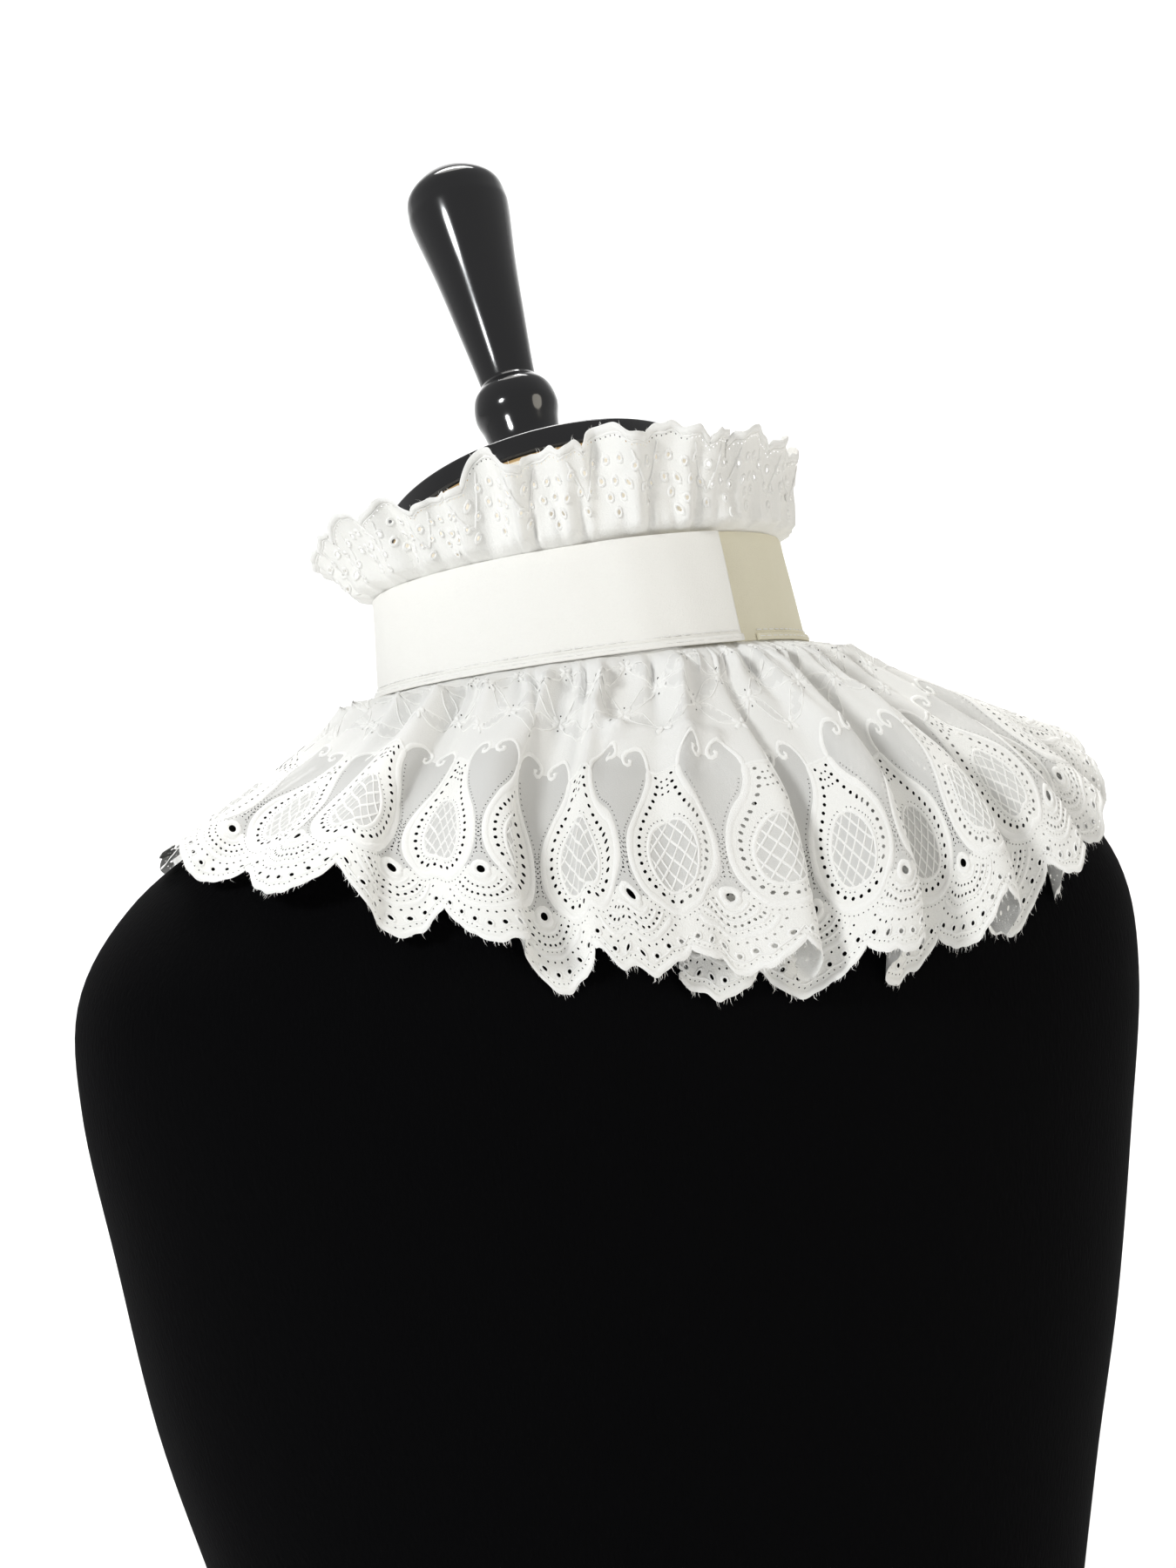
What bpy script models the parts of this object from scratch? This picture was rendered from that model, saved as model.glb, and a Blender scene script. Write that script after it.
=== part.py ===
"""Lace collar on a dress form: a plain stand band with a gathered eyelet frill above it and a deep
gathered eyelet flounce below it, closed round the neck of a limbless form that stands on its flat base.

Units are metres, +Z is up. The origin is the middle of the form's flat underside. The form's chest faces +Y,
so the back of the collar, with its closing, faces -Y. Angles round the neck start at the centre back and
grow towards +X.
"""

import math

import bmesh
import bpy
import numpy as np

# Driving dimensions of the collar
CLOTH = 0.001
GAP = 0.0003
BAND_HEIGHT = 0.032
BAND_WALL = 0.0012
BAND_OVERLAP_DEG = 17.0
CLOSING_DEG = 15.5
TAPE_WIDTH = 0.0032
TAPE_WALL = 0.001
TAPE_FROM_COLUMN = 5
LAP_RISE_DEG = 26.0
LAP_FLAT_DEG = 6.0
FLOUNCE_START = 0.0016
FLOUNCE_DEPTH = 0.104
SEAM_BEND = 0.012
FLOUNCE_SCALLOP = 0.0095
FLOUNCE_GATHER = 0.0022
FRILL_START = 0.0009
FRILL_HEIGHT = 0.036
FRILL_SCALLOP = 0.0070
FRILL_GATHER = 0.0016
CLEAR_OF_BODY = 0.0009
FREE_EDGE_RISE = 0.0050

# Driving dimensions of the form's cap and finial
CAP_RADIUS = 0.0520
CAP_RIM = 0.0075
CAP_DOME = 0.0045
CAP_BEVEL = 0.0015
CAP_SHOULDER = (0.60, 0.72)
CAP_CROWN = 0.36

# Mesh counts
TORSO_SIDES = 44
TORSO_STEPS = 2
NECK_STEPS = 2
CAP_SIDES = 40
FINIAL_SIDES = 24
BODY_LINE_STEPS = 81
RING_SIDES = 76
COLUMNS_PER_REPEAT = 6
FLOUNCE_ROWS = (0.0, 0.10, 0.24, 0.42, 0.62, 0.82, 1.0)
FRILL_ROWS = (0.0, 0.18, 0.42, 0.70, 1.0)

# Sections of the torso, from the flat base up to the neck seam.
# A tilted section has its back edge higher than its front edge.
TORSO_COLUMNS = ("height", "centre_y", "half_width", "depth_back", "depth_front", "tilt_deg", "squareness")
TORSO = (
    (0.000, -0.002, 0.122, 0.094, 0.098, 0.0, 2.1),
    (0.060, 0.000, 0.127, 0.096, 0.103, 0.0, 2.1),
    (0.130, 0.001, 0.144, 0.102, 0.120, 0.0, 2.1),
    (0.185, -0.001, 0.157, 0.106, 0.133, 0.0, 2.15),
    (0.240, -0.004, 0.166, 0.108, 0.118, 0.0, 2.2),
    (0.288, -0.006, 0.173, 0.108, 0.100, 0.0, 2.25),
    (0.322, -0.007, 0.171, 0.103, 0.087, 0.5, 2.25),
    (0.348, -0.008, 0.153, 0.093, 0.076, 1.5, 2.2),
    (0.367, -0.008, 0.124, 0.082, 0.069, 2.5, 2.1),
    (0.381, -0.008, 0.095, 0.073, 0.066, 3.0, 2.0),
    (0.392, -0.008, 0.074, 0.067, 0.066, 3.5, 2.0),
    (0.402, -0.0075, 0.0655, 0.0655, 0.0655, 4.0, 2.0),
    (0.408, -0.0071, 0.0640, 0.0640, 0.0640, 4.5, 2.0),
)
SEAM_ROW = 11
LOWEST_CLOTH_ROW = 3

# Sections of the neck above the torso, in the same columns.
NECK = (
    (0.4083, -0.0071, 0.0635, 0.0635, 0.0635, 4.5, 2.0),
    (0.419, -0.0055, 0.0585, 0.0585, 0.0585, 7.0, 2.0),
    (0.430, -0.0010, 0.0545, 0.0545, 0.0545, 12.0, 2.0),
    (0.441, 0.0050, 0.0523, 0.0523, 0.0523, 18.0, 2.0),
    (0.4515, 0.0130, 0.0515, 0.0515, 0.0515, 23.0, 2.0),
)

# Inner rings of the band: bottom and top, in the same columns.
BAND = (
    (0.4022, -0.0074, 0.0660, 0.0660, 0.0660, 4.0, 2.0),
    (0.4335, -0.0036, 0.0630, 0.0630, 0.0630, 6.0, 2.0),
)

# Finial, turned about the cap's axis: height above the cap and radius.
FINIAL = (
    (0.000, 0.0),
    (0.000, 0.0165),
    (0.004, 0.0165),
    (0.007, 0.0135),
    (0.014, 0.0115),
    (0.021, 0.0122),
    (0.027, 0.0136),
    (0.033, 0.0126),
    (0.037, 0.0096),
    (0.040, 0.0092),
    (0.060, 0.0113),
    (0.080, 0.0136),
    (0.098, 0.0163),
    (0.104, 0.0166),
    (0.110, 0.0154),
    (0.115, 0.0104),
    (0.1175, 0.0050),
    (0.118, 0.0),
)

# Folds of the flounce from its free start at the closing, once round to its free end over the start.
# Each row is a crest and gives the valley before it; repeats is how much lace lies in it.
FOLD_COLUMNS = ("seam_deg", "hem_deg", "repeats", "crest_mm", "steep", "lean", "lift_mm", "reach")
FOLDS = (
    (4.0, 3.0, 2.1, 14.0, 0.70, 0.45, 0.0, 1.10),
    (30.0, 15.0, 2.6, 12.0, 0.65, 0.45, 0.0, 1.13),
    (45.0, 36.0, 1.7, 13.0, 0.70, 0.40, 0.0, 1.11),
    (57.0, 50.0, 1.7, 14.0, 0.70, 0.30, 0.0, 1.10),
    (69.0, 64.0, 1.7, 14.0, 0.70, 0.20, 0.0, 1.06),
    (81.0, 79.0, 1.6, 14.0, 0.70, 0.10, 1.0, 1.03),
    (94.0, 93.0, 1.6, 13.0, 0.70, -0.10, 1.0, 1.0),
    (107.0, 108.0, 1.8, 14.0, 0.70, 0.20, 1.0, 1.0),
    (122.0, 125.0, 1.8, 14.0, 0.70, -0.20, 1.0, 1.0),
    (138.0, 141.0, 2.0, 14.0, 0.75, 0.20, 1.0, 1.0),
    (155.0, 157.0, 2.1, 13.0, 0.75, 0.30, 1.0, 1.0),
    (172.0, 173.0, 2.3, 13.0, 0.75, -0.25, 1.0, 1.0),
    (189.0, 189.0, 2.1, 13.0, 0.75, -0.30, 1.0, 1.0),
    (206.0, 205.0, 2.0, 14.0, 0.75, 0.20, 1.0, 1.0),
    (223.0, 222.0, 2.0, 13.0, 0.70, 0.25, 1.5, 1.0),
    (240.0, 243.0, 1.7, 10.0, 0.60, 0.10, 3.0, 1.0),
    (262.0, 269.0, 1.6, 7.0, 0.40, 0.10, 5.0, 1.0),
    (284.0, 297.0, 1.9, 6.0, 0.40, 0.20, 6.0, 1.0),
    (307.0, 326.0, 1.6, 12.0, 0.60, 0.45, 7.0, 0.96),
    (326.0, 339.0, 3.5, 12.0, 0.78, 0.25, 0.0, 1.03),
)
FLOUNCE_END = (366.0, 365.0)

# Waves of the frill, in the same manner.
WAVE_COLUMNS = ("seam_deg", "edge_deg", "repeats", "crest_mm", "steep", "lean", "flare_deg", "reach")
WAVES = (
    (17.0, 18.0, 1.0, 6.0, 0.5, -0.2, 14.0, 1.00),
    (31.0, 31.0, 1.0, 5.0, 0.5, 0.2, 12.0, 0.98),
    (45.0, 45.0, 1.0, 4.0, 0.5, 0.2, 10.0, 0.94),
    (58.0, 58.0, 1.0, 4.0, 0.5, -0.2, 10.0, 0.92),
    (72.0, 72.0, 1.0, 5.0, 0.5, 0.2, 14.0, 0.92),
    (86.0, 86.0, 1.0, 7.0, 0.5, -0.2, 20.0, 0.94),
    (100.0, 100.0, 1.0, 8.0, 0.5, 0.2, 26.0, 0.96),
    (114.0, 114.0, 1.0, 8.0, 0.5, 0.2, 38.0, 0.98),
    (128.0, 128.0, 1.0, 7.0, 0.5, -0.2, 48.0, 0.98),
    (142.0, 142.0, 1.0, 8.0, 0.5, 0.2, 56.0, 0.98),
    (156.0, 156.0, 1.0, 8.0, 0.5, -0.2, 62.0, 0.98),
    (170.0, 170.0, 1.0, 7.0, 0.5, 0.2, 66.0, 0.98),
    (184.0, 184.0, 1.0, 8.0, 0.5, 0.2, 68.0, 0.98),
    (198.0, 198.0, 1.0, 8.0, 0.5, -0.2, 66.0, 0.98),
    (212.0, 212.0, 1.0, 7.0, 0.5, 0.2, 62.0, 0.96),
    (226.0, 226.0, 1.0, 6.0, 0.5, -0.2, 56.0, 0.88),
    (240.0, 240.0, 1.0, 4.0, 0.5, 0.2, 50.0, 0.80),
    (253.0, 253.0, 1.0, 3.0, 0.5, 0.2, 48.0, 0.76),
    (267.0, 267.0, 1.0, 4.0, 0.5, -0.2, 44.0, 0.82),
    (280.0, 280.0, 0.9, 6.0, 0.5, 0.2, 42.0, 0.92),
    (293.0, 293.0, 0.9, 7.0, 0.5, 0.2, 36.0, 0.86),
    (305.0, 305.0, 0.9, 6.0, 0.5, -0.2, 34.0, 0.72),
    (317.0, 317.0, 0.9, 9.0, 0.7, 0.0, 18.0, 1.02),
    (328.0, 329.0, 1.0, 4.0, 0.5, 0.2, 16.0, 0.87),
    (343.0, 343.0, 1.1, 9.0, 0.6, 0.0, 6.0, 1.07),
    (359.0, 359.0, 1.4, 8.0, 0.6, 0.2, 12.0, 1.03),
)
FRILL_END = (378.0, 379.0)


# Curves and sections


def columns_of(names, table):
    """The table as a dictionary of arrays, by column name."""
    return dict(zip(names, np.array(table, float).T))


def smooth(table, place):
    """Rows of a table at fractional row numbers, on a Catmull-Rom curve through its rows."""
    table, place = np.array(table, float), np.asarray(place, float)
    last = len(table) - 1
    row = np.clip(np.floor(place).astype(int), 0, last - 1)
    t = (place - row)[..., None]
    before, after = table[np.maximum(row - 1, 0)], table[np.minimum(row + 2, last)]
    start, end = table[row], table[row + 1]
    m0, m1 = (end - before) / 2, (after - start) / 2
    return (
        (2 * t**3 - 3 * t**2 + 1) * start
        + (t**3 - 2 * t**2 + t) * m0
        + (3 * t**2 - 2 * t**3) * end
        + (t**3 - t**2) * m1
    )


def section_points(section, degrees, grow=0.0):
    """Points at these angles on sections, each a row of TORSO_COLUMNS, grown outwards."""
    height, centre_y, width, back, front, tilt, square = np.moveaxis(np.asarray(section, float), -1, 0)
    turn = np.radians(degrees)
    sine, cosine = np.sin(turn), np.cos(turn)
    power = 2 / square
    side = np.sign(sine) * np.abs(sine) ** power * (width + grow)
    depth = np.where(cosine > 0, back, front) + grow
    rear = np.sign(cosine) * np.abs(cosine) ** power * depth
    lean = np.radians(tilt)
    return np.stack([side, centre_y - rear * np.cos(lean), height + rear * np.sin(lean)], axis=-1)


def up_axis(tilt_deg):
    """The direction square to a section that is tilted this much."""
    lean = math.radians(tilt_deg)
    return np.array([0.0, math.sin(lean), math.cos(lean)])


# Cloth surfaces


def path_down_body(degrees, depth):
    """Points this far down the torso from the neck seam, along the torso's own lines."""
    steps = np.linspace(SEAM_ROW, LOWEST_CLOTH_ROW, BODY_LINE_STEPS)
    rows = smooth(TORSO, steps)
    line = section_points(rows[None], np.asarray(degrees)[:, None])
    stride = np.linalg.norm(np.diff(line, axis=1), axis=2)
    along = np.concatenate([np.zeros((len(line), 1)), np.cumsum(stride, axis=1)], axis=1)
    found = np.empty((len(line), 3))
    for i, wanted in enumerate(depth):
        for k in range(3):
            found[i, k] = np.interp(wanted, along[i], line[i, :, k])
    return found


def body_point_and_normal(degrees, depth):
    """The point on the torso at this angle and depth below the seam, and the direction out of it."""
    aside_deg, away = 0.4, 0.002
    here = path_down_body(degrees, depth)
    across = path_down_body(degrees + aside_deg, depth) - path_down_body(degrees - aside_deg, depth)
    down = path_down_body(degrees, depth + away) - path_down_body(degrees, np.maximum(depth - away, 0))
    normal = np.cross(down, across)
    return here, normal / np.linalg.norm(normal, axis=1)[:, None]


def place_in_folds(names, table, end, lace):
    """For each amount of lace from the start, in repeats: its fold, the share of it passed, and the columns."""
    fold = columns_of(names, table)
    edges = np.concatenate([[0], np.cumsum(fold["repeats"])])
    index = np.clip(np.searchsorted(edges, lace, side="right") - 1, 0, len(table) - 1)
    share = (lace - edges[index]) / fold["repeats"][index]
    starts = [np.append(fold[names[k]], end[k]) for k in (0, 1)]
    return fold, index, share, starts


def across_fold(starts, index, share, steep, lean):
    """The angle reached at this share of a fold whose flanks are made steep and leaned to one side."""
    bunch = steep / (4 * math.pi) * np.sin(4 * math.pi * share)
    tip = lean * (1 - np.cos(2 * math.pi * share)) / 4
    return starts[index] + (starts[index + 1] - starts[index]) * (share + bunch + tip)


def between(column, index, share):
    """A column's value between a fold's start and the next one's; the last fold runs to the first one's."""
    values = np.append(column, column[0])
    return values[index] + (values[index + 1] - values[index]) * share


def scallop(lace):
    """How much of the scallop's depth is cut away: none at the lobe's tip, all of it at the notch."""
    from_tip = np.abs((lace % 1.0) - 0.5) * 2
    return from_tip**1.8


def flounce_points(lace, share_down):
    """Points of the flounce's middle layer: lace in repeats from the closing, share_down from 0 to 1."""
    fold, index, share, starts = place_in_folds(FOLD_COLUMNS, FOLDS, FLOUNCE_END, lace)
    reach = between(fold["reach"], index, share)
    depth = share_down * reach * (FLOUNCE_DEPTH - FLOUNCE_SCALLOP * scallop(lace))
    spread = share_down**0.75
    seam = across_fold(starts[0], index, share, 0.0 * share, 0.0 * share)
    hem = across_fold(starts[1], index, share, fold["steep"][index], fold["lean"][index])
    degrees = seam + (hem - seam) * spread
    lifted = between(fold["lift_mm"], index, share)
    crest = fold["crest_mm"][index] * (1 - np.cos(2 * math.pi * share)) / 2
    gather = FLOUNCE_GATHER * (1 - np.cos(4 * math.pi * share)) / 2 * (1 - share_down) ** 0.7
    last = index == len(FOLDS) - 1
    free_edge = FREE_EDGE_RISE * np.where(last & (share > 0.6), (share - 0.6) / 0.4, 0)
    height = (crest * share_down**0.65 + lifted * share_down**1.5) / 1000
    height = height + free_edge * (0.3 + 0.7 * share_down**0.5)
    clear = GAP + CLOTH / 2 + CLEAR_OF_BODY
    point, normal = body_point_and_normal(degrees, FLOUNCE_START + depth)
    turn = np.radians(degrees)
    level = np.stack([np.sin(turn), -np.cos(turn), 0 * turn], axis=1)
    near_seam = np.clip(1 - depth / SEAM_BEND, 0, 1)[:, None]
    out = normal * (1 - near_seam) + level * near_seam
    return point + out * (clear + gather + height)[:, None]


def frill_points(lace, share_up):
    """Points of the frill's middle layer: lace in repeats from the closing, share_up from 0 to 1."""
    fold, index, share, starts = place_in_folds(WAVE_COLUMNS, WAVES, FRILL_END, lace)
    reach = between(fold["reach"], index, share)
    height = share_up * reach * (FRILL_HEIGHT - FRILL_SCALLOP * scallop(lace))
    seam = across_fold(starts[0], index, share, 0.0 * share, 0.0 * share)
    edge = across_fold(starts[1], index, share, fold["steep"][index], fold["lean"][index])
    degrees = seam + (edge - seam) * share_up
    flare = np.radians(between(fold["flare_deg"], index, share))
    crest = fold["crest_mm"][index] / 1000 * (1 - np.cos(2 * math.pi * share)) / 2
    gather = FRILL_GATHER * (1 - np.cos(4 * math.pi * share)) / 2 * (1 - share_up)
    bend = flare * (0.55 + 0.45 * share_up)
    out = height * np.sin(bend) + crest * share_up**0.9 + gather
    up = height * np.cos(bend)
    ring = section_points(np.array(BAND[1])[None], degrees, BAND_WALL / 2)
    centre = section_points(np.array(BAND[1])[None], degrees, -BAND[1][2])
    outward = (ring - centre) / np.linalg.norm(ring - centre, axis=1)[:, None]
    return ring + outward * out[:, None] + up_axis(BAND[1][5]) * (up + FRILL_START)[:, None]


# Blender objects


def clear_scene():
    """Empties the scene and makes the part's collection."""
    for obj in list(bpy.data.objects):
        bpy.data.objects.remove(obj)
    parts = bpy.data.collections.new("lace_collar_on_form")
    bpy.context.scene.collection.children.link(parts)
    return parts


def material(name, colour, roughness, metallic=0.0):
    """A plain Principled material."""
    made = bpy.data.materials.new(name)
    made.use_nodes = True
    shader = made.node_tree.nodes["Principled BSDF"]
    shader.inputs["Base Color"].default_value = (*colour, 1.0)
    shader.inputs["Roughness"].default_value = roughness
    shader.inputs["Metallic"].default_value = metallic
    return made


def add_object(name, mesh, parts, finish):
    """Links a mesh as a named object with its material."""
    mesh.materials.append(finish)
    mesh.shade_smooth()
    obj = bpy.data.objects.new(name, mesh)
    parts.objects.link(obj)
    return obj


def grid_mesh(name, rows, closed):
    """A mesh through rows of points; each row joins round to its start if closed."""
    shape = bmesh.new()
    lines = [[shape.verts.new(p) for p in row] for row in rows]
    count = len(rows[0])
    for low, high in zip(lines, lines[1:]):
        for i in range(count if closed else count - 1):
            j = (i + 1) % count
            shape.faces.new((low[i], low[j], high[j], high[i]))
    return shape, lines


def finish_mesh(name, shape):
    """Turns a bmesh into a mesh with its faces pointing out."""
    bmesh.ops.recalc_face_normals(shape, faces=shape.faces)
    mesh = bpy.data.meshes.new(name)
    shape.to_mesh(mesh)
    shape.free()
    return mesh


def loft(name, rows, parts, finish):
    """A solid through closed rings of points, with flat ends."""
    shape, lines = grid_mesh(name, rows, closed=True)
    shape.faces.new(list(reversed(lines[0])))
    shape.faces.new(lines[-1])
    return add_object(name, finish_mesh(name, shape), parts, finish)


def thicken(obj, wall, offset):
    """Gives an open surface its wall with Solidify; offset 0 keeps the surface in the middle."""
    solidify = obj.modifiers.new("Wall", "SOLIDIFY")
    solidify.thickness = wall
    solidify.offset = offset
    solidify.use_even_offset = False
    return obj


def turned(name, profile, steps, parts, finish):
    """A solid of revolution about Z from a profile of (height, radius), given bottom to top."""
    mesh = bpy.data.meshes.new(name)
    points = [(radius, 0.0, height) for height, radius in reversed(profile)]
    mesh.from_pydata(points, [(i, i + 1) for i in range(len(points) - 1)], [])
    obj = add_object(name, mesh, parts, finish)
    screw = obj.modifiers.new("Turn", "SCREW")
    screw.steps = screw.render_steps = steps
    screw.use_merge_vertices = True
    screw.merge_threshold = 0.00005
    return obj


def on_cap(obj, height):
    """Stands a turned object on the cap's axis, this far along it above the neck's top."""
    _, centre_y, _, _, _, tilt, _ = NECK[-1]
    obj.rotation_euler = (-math.radians(tilt), 0.0, 0.0)
    obj.location = np.array([0.0, centre_y, NECK[-1][0]]) + up_axis(tilt) * height
    return obj


# The pieces


def make_form(parts, cover, jersey, lacquer):
    """The dress form: torso, neck, cap and finial."""
    angles = np.arange(TORSO_SIDES) * 360 / TORSO_SIDES
    places = np.linspace(0, len(TORSO) - 1, (len(TORSO) - 1) * TORSO_STEPS + 1)
    loft("form_torso", [section_points(smooth(TORSO, p), angles) for p in places], parts, cover)
    places = np.linspace(0, len(NECK) - 1, (len(NECK) - 1) * NECK_STEPS + 1)
    loft("form_neck", [section_points(smooth(NECK, p), angles) for p in places], parts, jersey)
    cap = [
        (0.0, 0.0),
        (0.0, CAP_RADIUS - CAP_BEVEL),
        (CAP_BEVEL, CAP_RADIUS),
        (CAP_RIM - CAP_BEVEL, CAP_RADIUS),
        (CAP_RIM, CAP_RADIUS - CAP_BEVEL),
        (CAP_RIM + CAP_DOME * CAP_SHOULDER[0], CAP_RADIUS * CAP_SHOULDER[1]),
        (CAP_RIM + CAP_DOME, CAP_RADIUS * CAP_CROWN),
        (CAP_RIM + CAP_DOME, 0.0),
    ]
    on_cap(turned("form_cap", cap, CAP_SIDES, parts, lacquer), GAP)
    on_cap(turned("form_finial", FINIAL, FINIAL_SIDES, parts, lacquer), 2 * GAP + CAP_RIM + CAP_DOME)


def band_rows():
    """Rows of points up the band's inner face; its outer end steps out over its inner end."""
    turn = np.linspace(0, 360 + BAND_OVERLAP_DEG, RING_SIDES)
    rise = np.clip((turn - 360 + LAP_RISE_DEG) / (LAP_RISE_DEG - LAP_FLAT_DEG), 0, 1)
    out = (BAND_WALL + 2 * GAP) * rise * rise * (3 - 2 * rise)
    degrees = CLOSING_DEG - BAND_OVERLAP_DEG + turn
    return [section_points(smooth(BAND, place)[None], degrees, out) for place in (0, 0.5, 1)]


def make_band(parts, cotton):
    """The stand band, a strip whose outer end laps over its inner end at the closing."""
    shape, _ = grid_mesh("band", band_rows(), closed=False)
    obj = add_object("band", finish_mesh("band", shape), parts, cotton)
    return thicken(obj, BAND_WALL, 1.0)


def make_tape(parts, cotton):
    """The narrow stitched edge along the bottom of the band, made from the band's points, moved out."""
    low, middle, _ = band_rows()
    share = TAPE_WIDTH / (BAND_HEIGHT / 2)
    centre = np.array([0.0, BAND[0][1], BAND[0][0]])
    outward = (low - centre) / np.linalg.norm(low - centre, axis=1)[:, None]
    clear = outward * (BAND_WALL + GAP)
    first = TAPE_FROM_COLUMN
    rows = [(low + clear)[first:], (low + (middle - low) * share + clear)[first:]]
    shape, _ = grid_mesh("band_tape", rows, closed=False)
    obj = add_object("band_tape", finish_mesh("band_tape", shape), parts, cotton)
    return thicken(obj, TAPE_WALL, 1.0)


def make_lace(name, surface, names, table, shares, parts, lace):
    """A gathered strip of lace: its middle layer thickened both ways."""
    repeats = sum(row[names.index("repeats")] for row in table)
    along = np.linspace(0, repeats, int(round(repeats * COLUMNS_PER_REPEAT)) + 1)
    rows = [surface(along, np.full_like(along, share)) for share in shares]
    shape, _ = grid_mesh(name, rows, closed=False)
    obj = add_object(name, finish_mesh(name, shape), parts, lace)
    return thicken(obj, CLOTH, 0.0)


def main():
    parts = clear_scene()
    cover = material("form_cover", (0.012, 0.012, 0.014), 0.85)
    jersey = material("neck_jersey", (0.80, 0.74, 0.62), 0.80)
    lacquer = material("black_lacquer", (0.008, 0.008, 0.010), 0.16)
    cotton = material("band_cotton", (0.88, 0.87, 0.82), 0.85)
    lace = material("eyelet_lace", (0.90, 0.89, 0.85), 0.85)
    make_form(parts, cover, jersey, lacquer)
    make_band(parts, cotton)
    make_tape(parts, cotton)
    make_lace("frill", frill_points, WAVE_COLUMNS, WAVES, FRILL_ROWS, parts, lace)
    make_lace("flounce", flounce_points, FOLD_COLUMNS, FOLDS, FLOUNCE_ROWS, parts, lace)


main()
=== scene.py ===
"""Dresses the lace collar on its form: gathered eyelet cloth with cut holes and raised embroidery, a plain
cotton band with its stitching, and a smooth form under it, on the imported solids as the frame.

Flat lace is drawn in millimetres: x runs along the strip and y runs from the gathered seam to the scalloped
edge. Each drawing is one repeat of the lace, which is then laid on the cloth's surface over and over.
"""

import math

import bpy
import numpy as np
from mathutils import Matrix, Vector
from mathutils.geometry import delaunay_2d_cdt

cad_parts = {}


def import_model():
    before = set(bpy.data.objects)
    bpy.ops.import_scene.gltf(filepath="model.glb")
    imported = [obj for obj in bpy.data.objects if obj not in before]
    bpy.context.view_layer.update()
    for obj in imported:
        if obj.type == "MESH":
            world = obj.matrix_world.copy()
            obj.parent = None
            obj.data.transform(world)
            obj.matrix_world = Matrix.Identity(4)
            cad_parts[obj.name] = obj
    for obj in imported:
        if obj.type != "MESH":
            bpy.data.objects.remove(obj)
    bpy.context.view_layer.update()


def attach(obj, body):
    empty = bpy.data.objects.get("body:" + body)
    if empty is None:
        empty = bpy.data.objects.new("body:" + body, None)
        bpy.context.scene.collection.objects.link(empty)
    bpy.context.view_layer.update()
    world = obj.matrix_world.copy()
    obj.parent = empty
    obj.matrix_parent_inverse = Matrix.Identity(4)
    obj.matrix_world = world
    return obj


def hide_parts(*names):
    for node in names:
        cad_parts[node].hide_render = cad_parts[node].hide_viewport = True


# Driving dimensions of the collar, in metres
CLOTH = 0.001
GAP = 0.0003
BAND_HEIGHT = 0.032
BAND_WALL = 0.0012
BAND_OVERLAP_DEG = 17.0
CLOSING_DEG = 15.5
# The band is beige from its inner end to the first of these turns along it, paler beige in steps to the last, and
# white beyond
BEIGE_TO_DEG = (70.0, 82.0, 94.0)
LAP_RISE_DEG = 26.0
TAPE_WIDTH = 0.0032
TAPE_WALL = 0.0009
TAPE_FROM_DEG = 24.0
SEAM_TUCK = 0.0022
FLOUNCE_DEPTH = 0.107
SEAM_BEND = 0.012
FRILL_TUCK = 0.0030
FRILL_HEIGHT = 0.037

# The lace, in millimetres
PITCH = 28.5
FLOUNCE_PITCH = 26.0
FRILL_PITCH = 22.5
FLOUNCE_SCALLOP = 8.6
FRILL_SCALLOP = 4.3
GRID = 1.7
CORD_CLEAR = 0.05

# Driving dimensions of the form's cap and finial, in metres
CAP_RADIUS = 0.052
CAP_RIM = 0.0075
CAP_DOME = 0.0045

# The camera, worked out from the photo: it looks at the middle of the seam from behind the form
CAMERA_TURN_DEG = -25.0
CAMERA_RISE_DEG = 2.0
CAMERA_ROLL_DEG = 6.0
CAMERA_DISTANCE = 0.95
CAMERA_LENS_MM = 70.0
SENSOR_MM = 36.0
PHOTO_SIZE = (1350, 1800)
SEAM_IN_PHOTO = (680.0, 772.0)
SEAM_CENTRE = (0.0, -0.0074, 0.4022)

# Sections of the torso, from the flat base up to the neck seam, in these columns:
# height, centre_y, half_width, depth_back, depth_front, tilt_deg, squareness
TORSO = (
    (0, -0.002, 0.122, 0.094, 0.098, 0, 2.1),
    (0.06, 0, 0.127, 0.096, 0.103, 0, 2.1),
    (0.13, 0.001, 0.144, 0.102, 0.12, 0, 2.1),
    (0.185, -0.001, 0.157, 0.106, 0.133, 0, 2.15),
    (0.24, -0.004, 0.166, 0.108, 0.118, 0, 2.2),
    (0.288, -0.006, 0.173, 0.108, 0.1, 0, 2.25),
    (0.322, -0.007, 0.171, 0.103, 0.087, 0.5, 2.25),
    (0.348, -0.008, 0.153, 0.093, 0.076, 1.5, 2.2),
    (0.367, -0.008, 0.124, 0.082, 0.069, 2.5, 2.1),
    (0.381, -0.008, 0.095, 0.073, 0.066, 3, 2),
    (0.392, -0.008, 0.074, 0.067, 0.066, 3.5, 2),
    (0.402, -0.0075, 0.0655, 0.0655, 0.0655, 4, 2),
    (0.408, -0.0071, 0.064, 0.064, 0.064, 4.5, 2),
)
SEAM_ROW = 11

# Sections of the neck, in the same columns
NECK = (
    (0.4083, -0.0071, 0.0635, 0.0635, 0.0635, 4.5, 2),
    (0.419, -0.0055, 0.0585, 0.0585, 0.0585, 7, 2),
    (0.43, -0.001, 0.0545, 0.0545, 0.0545, 12, 2),
    (0.441, 0.005, 0.0523, 0.0523, 0.0523, 18, 2),
    (0.4515, 0.013, 0.0515, 0.0515, 0.0515, 23, 2),
)

# Inner rings of the band: bottom and top, in the same columns
BAND = (
    (0.4022, -0.0074, 0.066, 0.066, 0.066, 4, 2),
    (0.4335, -0.0036, 0.063, 0.063, 0.063, 6, 2),
)

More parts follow.
